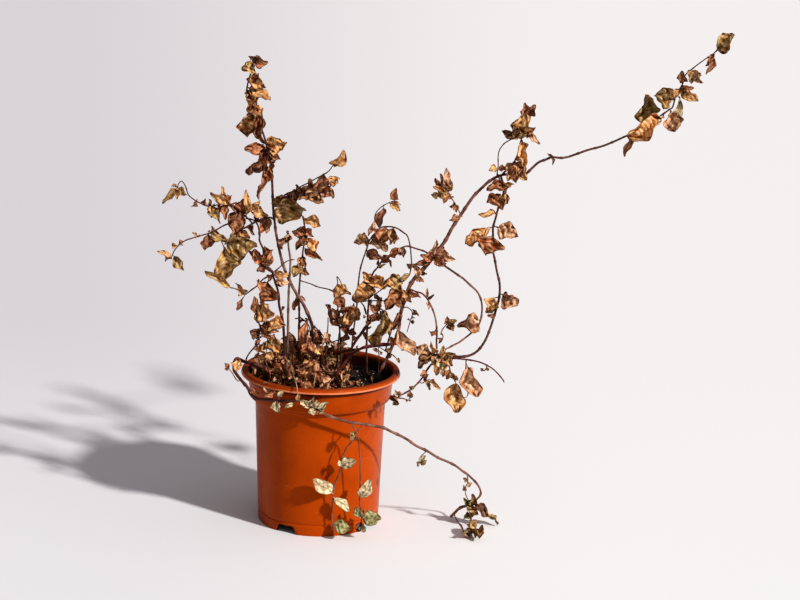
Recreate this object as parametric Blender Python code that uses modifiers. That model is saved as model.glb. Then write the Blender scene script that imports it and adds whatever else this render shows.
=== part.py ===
"""Dead mint-like houseplant standing in a 13 cm plastic nursery pot.

The pot and its soil are turned shapes.  Stems are square tubes along hand-laid
routes.  Leaves are folded, bowed grids with a thickness; small ones are joined to
the stem that they grow from, large ones are pieces of their own.
"""

import math
import random

import bmesh
import bpy
from mathutils import Vector

MM = 0.001

# Pot, millimetres
POT_HEIGHT = 128.0
LIP_RADIUS = 65.0
LIP_INNER_RADIUS = 60.0
LIP_TURN_Z = 123.6
COLLAR_TOP_RADIUS = 59.0
COLLAR_FOOT_RADIUS = 54.6
COLLAR_FOOT_Z = 105.0
BODY_TOP_RADIUS = 53.4
BASE_RADIUS = 50.0
FOOT_HEIGHT = 7.0
WALL = 1.3
FLOOR_Z = 8.0
NOTCH_ANGLES = (-29.4, 60.6, 150.6, 240.6)
NOTCH_FLOOR_WIDTH = 20.0
NOTCH_TOP_WIDTH = 14.0
DRAIN_RADIUS = 3.2
DRAIN_RING = 26.0
RING_STEPS = 32

# Soil
SOIL_TOP = 113.0
SOIL_SWELL = 2.0

# Leaves and stems
LEAF_THICKNESS = 0.55
ROUTE_SLACK = 0.5
FOOT_REACH = 2.0

# Routes are laid out as an elevation: x and z are read on the upright plane through
# the pot's axis, as seen from this point, and the third number is the depth behind
# (+) or before (-) that plane.
SEEN_FROM = Vector((0.0631, -1.5763, 0.5778))

# The plant leans far out to the right, so the middle of its whole extent is not the
# pot's axis: everything is moved by this much, and the origin lies in that middle.
EXTENT_MIDDLE = (98.3, -1.2)

COLOURS = {
    "pot": ((0.62, 0.095, 0.014), 0.42),
    "soil": ((0.022, 0.017, 0.014), 0.95),
    "litter": ((0.19, 0.072, 0.024), 0.85),
    "stem": ((0.085, 0.036, 0.03), 0.6),
    "stem_pale": ((0.30, 0.17, 0.13), 0.6),
    "leaf": ((0.24, 0.10, 0.032), 0.8),
    "leaf_pale": ((0.55, 0.46, 0.30), 0.8),
}


def new_collection(name):
    collection = bpy.data.collections.new(name)
    bpy.context.scene.collection.children.link(collection)
    return collection


for old in list(bpy.data.objects):
    bpy.data.objects.remove(old)
PLANT = new_collection("dead_houseplant")
CUTTERS = new_collection("cutters")
CUTTERS.hide_render = True
POT_AXIS = bpy.data.objects.new("pot_axis", None)
POT_AXIS.location = (-EXTENT_MIDDLE[0] * MM, -EXTENT_MIDDLE[1] * MM, 0.0)
PLANT.objects.link(POT_AXIS)


def material(name, kind):
    colour, roughness = COLOURS[kind]
    made = bpy.data.materials.new(name)
    made.use_nodes = True
    shader = made.node_tree.nodes["Principled BSDF"]
    shader.inputs["Base Color"].default_value = (*colour, 1.0)
    shader.inputs["Roughness"].default_value = roughness
    shader.inputs["Metallic"].default_value = 0.0
    made.diffuse_color = (*colour, 1.0)
    return made


def place(x, z, depth):
    """The point at this depth that is seen at x, z on the plane through the axis."""
    on_plane = Vector((x * MM, 0.0, z * MM))
    reach = 1.0 + depth * MM / -SEEN_FROM.y
    return SEEN_FROM + (on_plane - SEEN_FROM) * reach


def put(name, mesh, kind=None):
    """Link a finished piece, or with no kind a helper for the Booleans."""
    thing = bpy.data.objects.new(name, mesh)
    if kind is None:
        CUTTERS.objects.link(thing)
        thing.display_type = "WIRE"
        thing.hide_render = True
    else:
        PLANT.objects.link(thing)
        thing.data.materials.append(material(name, kind))
    thing.parent = POT_AXIS
    return thing


def boolean(target, operation, helpers):
    """Cut the helpers from the target, or join them to it, in one exact step."""
    group = bpy.data.collections.new(f"{operation.lower()}_{target.name}")
    CUTTERS.children.link(group)
    for helper in helpers:
        CUTTERS.objects.unlink(helper)
        group.objects.link(helper)
    step = target.modifiers.new(operation.lower(), "BOOLEAN")
    step.operation = operation
    step.solver = "EXACT"
    step.operand_type = "COLLECTION"
    step.collection = group
    step.use_self = True


def spare(points, slack):
    """The points of a path that it can't lose without moving by more than slack."""
    first, last = points[0], points[-1]
    line = (last - first).normalized()
    strays = [(point - first - line * (point - first).dot(line)).length for point in points[1:-1]]
    if not strays or max(strays) <= slack:
        return [first, last]
    corner = strays.index(max(strays)) + 1
    return spare(points[: corner + 1], slack)[:-1] + spare(points[corner:], slack)


def nearest_on(paths, point):
    """The point nearest to this one on any of the paths."""
    found = []
    for path in paths:
        for start, end in zip(path, path[1:]):
            run = end - start
            share = min(1.0, max(0.0, (point - start).dot(run) / run.length_squared))
            spot = start + run * share
            found.append(((spot - point).length, spot))
    return min(found, key=lambda pair: pair[0])


def tube_mesh(name, points, start, end):
    """A square tube along the points, its radius running from start to end."""
    curve = bpy.data.curves.new(name, "CURVE")
    curve.dimensions = "3D"
    curve.bevel_depth = MM
    curve.bevel_resolution = 0
    curve.use_fill_caps = True
    spline = curve.splines.new("POLY")
    spline.points.add(len(points) - 1)
    for i, (point, at) in enumerate(zip(spline.points, points)):
        share = i / (len(points) - 1)
        point.co = (*at, 1.0)
        point.radius = start + (end - start) * share
    path = put(name + "_path", curve)
    bpy.context.view_layer.update()
    graph = bpy.context.evaluated_depsgraph_get()
    mesh = bpy.data.meshes.new_from_object(path.evaluated_get(graph))
    bpy.data.objects.remove(path)
    tube = bmesh.new()
    tube.from_mesh(mesh)
    bmesh.ops.remove_doubles(tube, verts=tube.verts, dist=1e-6)
    bmesh.ops.recalc_face_normals(tube, faces=tube.faces)
    tube.to_mesh(mesh)
    tube.free()
    mesh.materials.clear()
    return mesh


def leaf_outline(along):
    """Half width of a leaf, as a share of its widest, from its base (0) to its tip (1)."""
    return max(0.0, math.sin(math.pi * along ** 0.8)) ** 0.75


def leaf_mesh(name, base, tip, width, roll=0.0, fold=0.5, bow=0.12, twist=0.0, paths=()):
    """A grid bent into a leaf: V-folded on its midrib, bowed and twisted lengthways.

    With paths, its foot moves onto the nearest one that is within reach.
    """
    rows = 2 if width < 9.5 else 3
    columns = rows - 1
    foot = place(*base)
    if paths:
        distance, spot = nearest_on(paths, foot)
        if distance < FOOT_REACH * MM:
            foot = spot
    head = place(*tip)
    run = head - foot
    length = run.length
    along = run.normalized()
    toward = (SEEN_FROM - (foot + head) / 2).normalized()
    across = along.cross(toward).normalized()
    face = across.cross(along).normalized()
    grid = bmesh.new()
    bmesh.ops.create_grid(grid, x_segments=columns, y_segments=rows, size=0.5)
    for vert in grid.verts:
        side = vert.co.x * 2.0
        share = vert.co.y + 0.5
        half = width * MM / 2 * leaf_outline(share)
        turn = roll + twist * (share - 0.5)
        wide = across * math.cos(turn) + face * math.sin(turn)
        up = face * math.cos(turn) - across * math.sin(turn)
        arch = 4 * bow * share * (1 - share) * length
        vert.co = (
            foot
            + along * (length * share)
            + wide * (side * half * math.cos(fold))
            + up * (abs(side) * half * math.sin(fold) + arch)
        )
    bmesh.ops.remove_doubles(grid, verts=grid.verts, dist=1e-5)
    mesh = bpy.data.meshes.new(name)
    grid.to_mesh(mesh)
    grid.free()
    return mesh


def thicken(thing, thickness=LEAF_THICKNESS):
    step = thing.modifiers.new("thickness", "SOLIDIFY")
    step.thickness = thickness * MM
    step.offset = 0.0
    step.use_even_offset = False


def leaf(name, *shape, kind="leaf", **options):
    """A leaf that is a piece of its own."""
    made = put(name, leaf_mesh(name, *shape, **options), kind)
    thicken(made)
    return made


def shoot(name, routes, leaves=(), kind="stem"):
    """A stem, its side twigs and the small leaves on it, joined into one solid."""
    paths = [spare([place(*at) for at in route], ROUTE_SLACK * MM) for route, *_ in routes]
    made = put(name, tube_mesh(name, paths[0], *routes[0][1:]), kind)
    helpers = []
    for i, (path, twig) in enumerate(zip(paths[1:], routes[1:])):
        path[0] = nearest_on([other for other in paths if other is not path], path[0])[1]
        helpers.append(put(f"{name}_twig_{i}", tube_mesh(f"{name}_twig_{i}", path, *twig[1:])))
    for i, (shape, options) in enumerate(leaves):
        piece = put(f"{name}_leaf_{i}", leaf_mesh(f"{name}_leaf_{i}", *shape, paths=paths, **options))
        thicken(piece)
        helpers.append(piece)
    if helpers:
        boolean(made, "UNION", helpers)
    return made


def blade(base, tip, width, **options):
    return (base, tip, width), options


def turned(name, profile, kind=None, steps=RING_STEPS):
    """A profile of radius, height pairs in millimetres, screwed round the pot's axis."""
    mesh = bpy.data.meshes.new(name)
    points = [(r * MM, 0.0, z * MM) for r, z in profile]
    links = [(i, (i + 1) % len(points)) for i in range(len(points))]
    if profile[0][0] == 0.0:
        links = links[:-1]
    mesh.from_pydata(points, links, [])
    made = put(name, mesh, kind)
    spin = made.modifiers.new("turn", "SCREW")
    spin.axis = "Z"
    spin.angle = math.tau
    spin.steps = steps
    spin.render_steps = steps
    spin.use_merge_vertices = True
    spin.merge_threshold = 1e-5
    return made


# Pot

pot_profile = (
    (0.0, FLOOR_Z + WALL),
    (BASE_RADIUS - 1.6, FLOOR_Z + WALL),
    (BODY_TOP_RADIUS - WALL, COLLAR_FOOT_Z - 0.6),
    (COLLAR_TOP_RADIUS - WALL, 124.4),
    (LIP_INNER_RADIUS + 0.2, POT_HEIGHT),
    (LIP_RADIUS - 0.8, POT_HEIGHT - 0.7),
    (LIP_RADIUS, POT_HEIGHT - 1.8),
    (LIP_RADIUS, LIP_TURN_Z),
    (LIP_RADIUS - 1.3, LIP_TURN_Z),
    (LIP_RADIUS - 1.5, POT_HEIGHT - 2.8),
    (COLLAR_TOP_RADIUS, POT_HEIGHT - 3.0),
    (COLLAR_FOOT_RADIUS, COLLAR_FOOT_Z),
    (BODY_TOP_RADIUS, COLLAR_FOOT_Z - 0.8),
    (BASE_RADIUS + 0.25, FOOT_HEIGHT + 0.8),
    (BASE_RADIUS, FOOT_HEIGHT),
    (BASE_RADIUS - 0.4, 0.0),
    (BASE_RADIUS - 2.0, 0.0),
    (BASE_RADIUS - 2.2, FLOOR_Z),
    (0.0, FLOOR_Z),
)
pot = turned("pot", pot_profile, "pot")
pot_cutters = []

for i, angle in enumerate(NOTCH_ANGLES):
    notch = bmesh.new()
    bmesh.ops.create_cube(notch, size=1.0)
    for vert in notch.verts:
        low = vert.co.z < 0
        width = NOTCH_FLOOR_WIDTH if low else NOTCH_TOP_WIDTH
        vert.co.x *= width * MM
        vert.co.y = (-BASE_RADIUS + vert.co.y * 8.0) * MM
        vert.co.z = (-1.0 if low else FOOT_HEIGHT - 0.4) * MM
    mesh = bpy.data.meshes.new(f"notch_{i}")
    notch.to_mesh(mesh)
    notch.free()
    cutter = put(f"notch_{i}", mesh)
    cutter.rotation_euler.z = math.radians(angle)
    pot_cutters.append(cutter)

for i in range(4):
    hole = bmesh.new()
    bmesh.ops.create_cone(
        hole, cap_ends=True, segments=8, radius1=DRAIN_RADIUS * MM,
        radius2=DRAIN_RADIUS * MM, depth=8 * MM,
    )
    mesh = bpy.data.meshes.new(f"drain_{i}")
    hole.to_mesh(mesh)
    hole.free()
    cutter = put(f"drain_{i}", mesh)
    around = math.radians(45 + 90 * i)
    cutter.location = (
        DRAIN_RING * math.cos(around) * MM,
        DRAIN_RING * math.sin(around) * MM,
        (FLOOR_Z + 0.6) * MM,
    )
    pot_cutters.append(cutter)
boolean(pot, "DIFFERENCE", pot_cutters)

# Soil and litter


def soil_height(x, y):
    """Top of the soil in millimetres at x, y."""
    swell = SOIL_SWELL * (1 - (x * x + y * y) / 54.0 ** 2)
    lumps = 0.9 * math.sin(0.21 * x + 1.3) * math.cos(0.17 * y) + 0.6 * math.sin(0.43 * x - 0.37 * y)
    bare = min(1.0, max(0.0, (x - 24.0) / 8.0))
    return SOIL_TOP + swell + lumps * bare


def litter_depth(x, y):
    """Thickness of the leaf litter on the soil at x, y: deep at the left rim, thin at the right."""
    bank = 5.5 + 3.0 * max(0.0, -x / 55.0)
    crumple = 2.2 * math.sin(0.33 * x + 0.7) * math.sin(0.29 * y + 0.4) + 1.1 * math.sin(0.71 * x + 0.55 * y)
    return max(1.6, bank + crumple)


def ring_loft(name, rings, kind):
    """Closed solid lofted through rings of points; the first and last rings are single points."""
    made = bmesh.new()
    rows = [[made.verts.new([value * MM for value in point]) for point in ring] for ring in rings]
    for upper, lower in zip(rows, rows[1:]):
        count = max(len(upper), len(lower))
        for i in range(count):
            j = (i + 1) % count
            corners = [upper[i % len(upper)], lower[i % len(lower)], lower[j % len(lower)], upper[j % len(upper)]]
            made.faces.new(list(dict.fromkeys(corners)))
    bmesh.ops.recalc_face_normals(made, faces=made.faces)
    mesh = bpy.data.meshes.new(name)
    made.to_mesh(mesh)
    made.free()
    return put(name, mesh, kind)


def ring(centre, radii, count, height):
    """A ring of count points round centre, its two half axes in radii, its height a function of x, y."""
    points = []
    for i in range(count):
        around = math.tau * i / count
        x = centre[0] + radii[0] * math.cos(around)
        y = centre[1] + radii[1] * math.sin(around)
        points.append((x, y, height(x, y)))
    return points


soil_rings = [[(0.0, 0.0, soil_height(0.0, 0.0))]]
for radius in (15.0, 29.0, 42.0, 53.8):
    soil_rings.append(ring((0.0, 0.0), (radius, radius), 24, soil_height))
for radius, level in ((52.1, 107.0), (51.4, 103.5), (47.8, 9.7)):
    soil_rings.append(ring((0.0, 0.0), (radius, radius), 24, lambda x, y, level=level: level))
soil_rings.append([(0.0, 0.0, 9.7)])
soil = ring_loft("soil", soil_rings, "soil")

LITTER_CENTRE = (-15.0, -2.0)
LITTER_REACH = (37.0, 45.0)


def litter_top(x, y):
    return soil_height(x, y) + 0.6 + litter_depth(x, y)


def litter_under(x, y):
    return soil_height(x, y) + 0.6


litter_rings = [[(*LITTER_CENTRE, litter_top(*LITTER_CENTRE))]]
for share in (0.25, 0.5, 0.75, 0.97):
    half_axes = (LITTER_REACH[0] * share, LITTER_REACH[1] * share)
    litter_rings.append(ring(LITTER_CENTRE, half_axes, 22, litter_top))
for share in (1.0, 0.55):
    half_axes = (LITTER_REACH[0] * share, LITTER_REACH[1] * share)
    litter_rings.append(ring(LITTER_CENTRE, half_axes, 22, litter_under))
litter_rings.append([(*LITTER_CENTRE, litter_under(*LITTER_CENTRE))])
litter = ring_loft("leaf_litter", litter_rings, "litter")

# Stems: routes as (x, z, depth), with the radius at the first and last point

stem_centre = shoot("stem_centre", [(
    [(1, 128, 5), (0, 137, 6), (-1.5, 143, 7), (-5.5, 155, 9), (-9, 167, 12), (-15, 180.5, 15),
     (-22, 191.5, 18), (-28, 203, 21), (-33, 216, 23), (-38, 238, 26), (-39.5, 248.6, 27)], 1.7, 1.1)],
    kind="stem_pale")

stem_tall = shoot("stem_tall", [(
    [(-39.8, 250.8, 27), (-41, 262, 28), (-42, 281.5, 30), (-43.5, 296, 31), (-46, 308, 32),
     (-49.5, 320, 33), (-53, 327, 34), (-57, 335, 35), (-60.5, 343, 35), (-63, 353, 35),
     (-61.3, 364, 34), (-58, 372, 33), (-55, 378.5, 32)], 1.1, 0.5)],
    [blade((-55.8, 376.8, 32.2), (-47.5, 377, 27), 8, bow=0.3),
     blade((-60.5, 365.5, 34), (-50, 357.5, 28), 8),
     blade((-62, 357, 35), (-46, 348.5, 30), 9),
     blade((-62, 356, 35), (-54.5, 344, 30), 6, roll=0.5),
     blade((-59.8, 341, 35), (-51, 328, 38), 6, bow=0.1),
     blade((-46.3, 309, 32), (-63, 307, 26), 8),
     blade((-46, 307, 32), (-60, 291, 27), 9, roll=0.4),
     blade((-46.5, 310, 32), (-32.5, 312, 27), 10),
     blade((-46, 308, 32), (-37.5, 301.5, 28), 6)])

leaf("leaf_plume_tip", (-57.6, 375.2, 30.5), (-66, 372.5, 26), 11)
leaf("leaf_plume_bell", (-60.3, 340.5, 32.2), (-61, 320.5, 25), 15, fold=0.35)
leaf("leaf_plume_hanging", (-46.6, 298, 28.8), (-52, 270, 24), 8.5, fold=0.9)

shoot_inner = shoot("shoot_inner", [
    ([(-38.6, 263.5, 25.5), (-35, 268, 22), (-30, 272, 16), (-24, 274, 10), (-18, 272, 5), (-12, 271, 0),
      (-5, 274, -5), (0, 278, -9), (4, 282, -12)], 0.8, 0.4),
    ([(-24, 274, 10), (-20.5, 277.5, 6), (-13, 281.5, 2), (-6.5, 285.5, -2), (0.5, 289.5, -6),
      (4, 292.5, -8), (6.5, 296.5, -10)], 0.55, 0.4)],
    [blade((-34, 269, 21), (-16, 275, 8), 11),
     blade((-20, 273, 6), (-3, 267, -3), 13, roll=0.3),
     blade((-6, 273, -4.5), (-2, 287, -10), 10),
     blade((0, 277.5, -9), (7, 271.5, -13), 7),
     blade((3, 281, -11.5), (10, 285, -14), 6),
     blade((6, 295.5, -9.6), (14.5, 307.5, -13), 8),
     blade((-30, 272, 16), (-31, 251.5, 10), 16, fold=0.35)])

stem_grey = shoot("stem_grey", [(
    [(-28, 127, -12), (-28, 138.5, -12), (-27.5, 156, -13), (-27.5, 176, -14), (-27.3, 191, -14),
     (-26.5, 209, -14), (-26.5, 219.5, -13), (-28, 228, -12), (-29, 242, -10)], 1.3, 0.8)],
    [blade((-29, 241.5, -10), (-33, 227.5, -14), 8, fold=0.8)], kind="stem_pale")

stem_red = shoot("stem_red", [
    ([(-17, 130, 20), (-18, 140, 21), (-18.5, 155, 22), (-18.5, 172, 23), (-19, 189.5, 24), (-18, 208, 23),
      (-17, 216, 22), (-16, 229, 20), (-13.5, 238.5, 17), (-15, 244.5, 15), (-17, 253, 13),
      (-19.5, 257.5, 12)], 1.2, 0.5),
    ([(-18.3, 171, 23), (-13, 166.5, 22), (-10, 162, 21), (-9.5, 157, 20)], 0.5, 0.4)],
    [blade((-17.2, 253.5, 13), (-3.5, 247, 9), 6),
     blade((-14, 243, 15.5), (-26, 240, 11), 10),
     blade((-14.1, 241.5, 16), (-21.5, 228, 10), 6),
     blade((-14, 237, 17.4), (-8, 225, 13), 9),
     blade((-16.5, 221, 21.5), (-21.5, 213, 17), 7),
     blade((-18, 216.5, 22), (-23.5, 204.5, 18), 6),
     blade((-19, 189, 24), (-23, 177, 20), 5),
     blade((-18.5, 160, 22.3), (-11, 152.5, 17.5), 9),
     blade((-9.7, 159, 20.5), (0, 149.5, 17), 9)])

stem_middle = shoot("stem_middle", [
    ([(17, 125.5, 8), (15, 156, 5), (13, 175.5, 3), (12, 187.5, 2), (7, 193.5, 5), (-3.5, 196, 12),
      (-10, 198.5, 17), (-15.6, 200.4, 20.5)], 1.0, 0.4),
    ([(8, 192.5, 4.5), (12, 199, 2), (11.5, 205, 1), (14, 202, -1), (16.5, 196, -2)], 0.4, 0.35),
    ([(0.5, 161, 2), (9.5, 166, 3.5), (14, 170, 4), (19.5, 174, 2), (21.5, 175, 1)], 0.5, 0.45)],
    [blade((8, 193, 4.5), (22, 190, 0), 9),
     blade((12.3, 187, 2), (17.5, 180, -2), 7),
     blade((20, 174.5, 1.8), (31, 170, -4), 13),
     blade((14, 169, 4), (9.5, 177, 0), 6),
     blade((14, 169, 4), (9, 162.5, -1), 6)])

stem_short = shoot("stem_short", [(
    [(3, 124, -8), (4, 147, -7), (4.5, 154.5, -6), (5, 163, -5), (5, 171, -4)], 0.9, 0.5)])

stem_arched = shoot("stem_arched", [(
    [(38, 121, 18), (37, 140, 18), (37, 160, 17), (37.5, 180, 15), (38.5, 198, 12), (40.5, 208.5, 10),
     (44, 213.5, 8), (48, 219.5, 6), (52.5, 223, 4), (56.5, 225.5, 3), (60.5, 228.5, 3), (64, 231, 3),
     (67.5, 232, 5), (70.5, 231.5, 8), (75.5, 230, 11), (80.5, 228.5, 12)], 1.3, 0.6)],
    [blade((39.3, 204, 11), (49, 196.5, 3), 12),
     blade((37.8, 194, 12.8), (24, 187, 4), 15),
     blade((60.5, 228.5, 3), (64, 225.5, 0), 5)])

stem_thin_arch = shoot("stem_thin_arch", [
    ([(30, 210.5, 2), (32, 219, 2), (34.5, 227, 1), (37.5, 236.5, -2), (41.5, 242, -4), (45.5, 246.5, -6),
      (50, 247.5, -9), (55.5, 247.5, -12), (60, 246, -14), (64.5, 243, -16), (67.5, 240.5, -18),
      (69.5, 234.5, -19), (70.5, 229, -20), (71.5, 218, -20), (71, 212.5, -19), (70, 208, -18),
      (67.5, 205, -17), (64.5, 202, -16)], 0.65, 0.45),
    ([(45, 246.2, -5.8), (41, 253, -8), (41.5, 258, -9), (43.5, 261, -10), (46.5, 264, -11),
      (50.5, 266.5, -12), (56, 269, -13)], 0.4, 0.35)],
    [blade((56, 269, -13), (57, 278.5, -16), 6),
     blade((52, 267, -12.2), (60.5, 261.5, -15), 5),
     blade((49, 265.6, -11.6), (46, 247.5, -15), 6.5),
     blade((41.2, 253, -8), (38.5, 240.5, -11), 5.5),
     blade((50, 247.3, -9), (50.5, 233.5, -14), 10),
     blade((58, 246.7, -13), (57, 233, -17), 5),
     blade((36, 232, -0.6), (26.5, 235.5, -5), 9),
     blade((36, 231.5, -0.5), (43, 234.5, -5), 6),
     blade((37.5, 236, -1.8), (49, 228.5, -8), 9),
     blade((34, 225, 1.3), (46.5, 225, -4), 9),
     blade((71, 213, -19.2), (78, 205.5, -23), 7),
     blade((65, 202.5, -16.2), (52, 206, -19), 11),
     blade((65, 202.5, -16.2), (52.5, 180, -21), 10)])

leaf("leaf_long_hanging", (51.2, 176.8, -22), (45.5, 150, -26), 15, fold=0.6)
leaf("leaf_peach", (62, 158.5, -23), (74.5, 143, -26), 10)

stem_thick = shoot("stem_thick", [
    ([(46, 122, 10), (52, 134, 11), (57, 146, 12), (61, 156, 12), (63, 164.5, 13), (63.5, 172.5, 13),
      (65, 180.5, 14), (67.5, 189, 14), (70, 197.5, 15), (72.5, 202.5, 16), (75, 206.5, 17)], 2.0, 1.7),
    ([(65, 180.5, 13.5), (69.5, 181, 12), (73.5, 176.5, 10), (71.5, 168, 8), (69.5, 160, 7)], 0.4, 0.35)],
    [blade((67, 188, 14), (63, 183.5, 9), 6),
     blade((68.3, 191, 14), (73, 185.5, 10), 5)], kind="stem_pale")

stem_thick_upper = shoot("stem_thick_upper", [
    ([(76.2, 208.3, 17.4), (79, 211, 18), (85, 218, 19), (89.5, 224.5, 20), (93.5, 230.5, 21),
      (98.5, 238, 22), (103, 247.5, 23), (110, 259, 25), (115, 267.5, 26), (120, 275, 27),
      (126, 281.5, 28), (131, 286.5, 29), (136, 290, 30), (139.4, 291.8, 30)], 1.6, 1.1),
    ([(110, 258.5, 25), (106, 269.5, 22), (102, 276.5, 19)], 0.45, 0.4)],
    [blade((88.5, 223, 20), (90, 236.5, 16), 6),
     blade((90, 225, 20), (104.5, 223, 15), 6.5),
     blade((88.5, 223, 20), (84, 219.5, 14), 6.5),
     blade((89, 224, 20), (97, 219, 14), 6.5),
     blade((91, 226.5, 20.4), (96, 233, 25), 6),
     blade((102, 276, 19.2), (100.5, 298.5, 14), 9),
     blade((102, 276, 19.2), (88.5, 288, 13), 10),
     blade((102.5, 275.5, 19.2), (88.5, 272.5, 14), 8),
     blade((106, 269.5, 22), (110, 277, 19), 5),
     blade((109, 257.5, 24.8), (101, 261, 20), 6)], kind="stem_pale")

stem_right = shoot("stem_right", [(
    [(141, 292.6, 30.5), (145, 293, 31), (152, 291.5, 32), (159.1, 292.8, 33), (162, 295.1, 33),
     (166.1, 299.4, 34), (170.7, 303.7, 35), (175.9, 305.9, 36), (181, 308, 37), (188.3, 307.7, 38),
     (194.2, 308.8, 40), (199.9, 311, 41), (209.9, 314.9, 43), (220, 317.9, 45), (228.8, 321.7, 47),
     (237.6, 326.1, 49), (240.3, 327.2, 49.5)], 1.1, 0.8)],
    [blade((181, 308, 37), (177.5, 310.5, 34), 3)])

shoot_crown = shoot("shoot_crown", [(
    [(145, 296.4, 30.2), (149.6, 301.5, 30), (152.2, 305.8, 30), (153.3, 309, 30), (154.1, 312.9, 30),
     (154.7, 316, 30), (156, 322, 30), (157.5, 330, 30), (159, 338, 30), (161, 343, 30)], 0.7, 0.4)],
    [blade((150.5, 303, 30), (146.5, 290, 23), 7),
     blade((151, 304, 30), (160.5, 290.5, 24), 8),
     blade((151, 304, 30), (152, 288, 22), 8),
     blade((156, 325, 30), (141.3, 327.8, 25), 7),
     blade((156, 323, 30), (157, 340.5, 25), 14),
     blade((160, 340.5, 30), (161.5, 350, 26), 8),
     blade((157, 327, 30), (169.8, 319.5, 25), 5),
     blade((156, 322, 30), (158.3, 300.3, 25), 8)])

shoot_loop = shoot("shoot_loop", [(
    [(138, 295, 26.5), (138.3, 300, 26), (138, 307, 26), (138.6, 311.8, 26), (140.2, 315, 26.5),
     (142.7, 318.2, 27), (146, 320.4, 28), (148.3, 321.6, 28)], 0.42, 0.42)],
    [blade((138.2, 297.2, 26.3), (131.5, 296, 24), 5.5, bow=0.0),
     blade((138.2, 297.2, 26.3), (144.3, 297.8, 25), 4.5, bow=0.0)])

shoot_far = shoot("shoot_far", [(
    [(242.2, 328.2, 50), (250, 333, 51), (260, 340, 52), (268.3, 346, 52.5), (272, 349, 53),
     (274.5, 350.9, 53), (275.9, 357.9, 53), (276.7, 361.7, 53), (279.1, 365.6, 53.5),
     (281.2, 369.5, 54), (281.7, 373.4, 54), (284, 378, 54.5), (288.8, 382.3, 55), (294, 386.7, 55.5),
     (299.9, 391.2, 56), (304.9, 395, 57), (306, 397, 57)], 0.8, 0.4)],
    [blade((243.3, 328.8, 50.2), (239, 311.5, 46), 4.5),
     blade((252, 334.4, 51.1), (254.5, 358.5, 56), 14, bow=0.0),
     blade((279, 366, 53.5), (275, 357.5, 49), 6),
     blade((279.5, 366, 53.6), (289.5, 366.6, 49), 5),
     blade((279.3, 365.5, 53.5), (293, 357, 48), 7),
     blade((281.5, 371, 54), (280.5, 379, 50), 8),
     blade((288, 381.7, 55), (288.1, 372, 51), 8),
     blade((288, 380, 54.3), (296.5, 371.5, 48), 5),
     blade((305.5, 396, 57), (318.5, 408.6, 52), 8.5),
     blade((305.3, 395.4, 57), (300.5, 386, 53), 4),
     blade((304.8, 394.5, 56.9), (299.6, 378.8, 52), 4)])

leaf("leaf_far_gold", (268.8, 342, 47.3), (242.5, 326.5, 43.5), 15, fold=0.3)
leaf("leaf_far_dark", (273.8, 357.4, 51), (261.5, 357.8, 45), 13, fold=0.4)
leaf("leaf_far_hanging", (273.2, 347, 50.3), (276.3, 333, 46.5), 9)
leaf("leaf_far_pale", (279.6, 360, 55), (279.3, 335, 56), 6, kind="leaf_pale")

stem_hanging = shoot("stem_hanging", [(
    [(142.5, 288.6, 28.5), (143.5, 283, 28), (143, 276, 27), (139.3, 263.5, 25), (138.4, 258.8, 24),
     (136.5, 251, 22), (136.2, 247.3, 21), (136.8, 239.1, 18), (137.1, 229.8, 15), (138.8, 222.6, 12),
     (140.9, 212.8, 8), (142.8, 206.1, 5), (143.7, 199.5, 3), (143.4, 190.8, 1), (141.8, 183.4, -1),
     (139.3, 173.2, -5), (137, 164.7, -8), (133.2, 154.5, -12), (127.8, 146.4, -15),
     (121.4, 142.2, -17), (113.8, 140.8, -18), (107, 141.6, -18)], 0.8, 1.1)],
    [blade((142.8, 286, 28.3), (131.5, 280, 23), 9),
     blade((143.4, 283, 28), (150.5, 285, 23), 7),
     blade((142.5, 274.5, 26.8), (131.5, 270, 22), 11),
     blade((141.5, 271, 26.3), (145.5, 278.5, 22), 8),
     blade((138.8, 261, 24.5), (125.3, 259.8, 19), 5.5)])

leaf("leaf_ring_left", (133.5, 248.8, 21), (117, 236.8, 24), 11)
leaf("leaf_ring_right", (138.8, 249.2, 20), (154.8, 243, 14), 12)
leaf("leaf_ring_front", (135.2, 241.8, 14), (133.5, 228, 9), 15.5, fold=0.3)
leaf("leaf_ring_brown", (139.8, 190, -2), (135, 181.5, -5), 9, fold=0.3)
leaf("leaf_ring_outer", (146.2, 193.4, 0.5), (157.8, 188, -4), 11)

stem_arch_right = shoot("stem_arch_right", [(
    [(99, 216.2, 26), (110, 209, 29), (114.2, 206.2, 31), (120, 201, 33), (124.9, 196.6, 34),
     (127.8, 192, 34), (129.6, 186.1, 34), (130, 180, 33), (129.2, 172.3, 31), (126.4, 165.7, 28),
     (120.7, 160, 22), (113.3, 153.7, 12), (108, 150.6, 5), (104.3, 148.3, 0), (101.5, 147.2, -6)],
    0.8, 0.7)])
leaf("leaf_arch_gold", (127, 171.2, 27.8), (111.5, 167, 20), 11.5)

stem_arch_middle = shoot("stem_arch_middle", [
    ([(73.6, 195.4, 10), (76, 194.5, 9), (81, 193, 6), (85, 189, 2), (89, 182, -3), (92, 174, -7),
      (93.5, 166, -10), (94, 158, -13), (93.8, 154, -14), (94, 151.5, -15)], 0.6, 0.7),
    ([(94.1, 156, -13.4), (98.7, 156.3, -15), (99, 158.5, -15), (97.4, 160.5, -15), (98.7, 164, -15),
      (101, 167, -15), (102.6, 168.3, -15)], 0.4, 0.35)],
    [blade((93.9, 160, -12.3), (89.5, 161.5, -15), 4),
     blade((102.4, 168, -15), (102.2, 173.5, -18), 6)])

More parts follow.
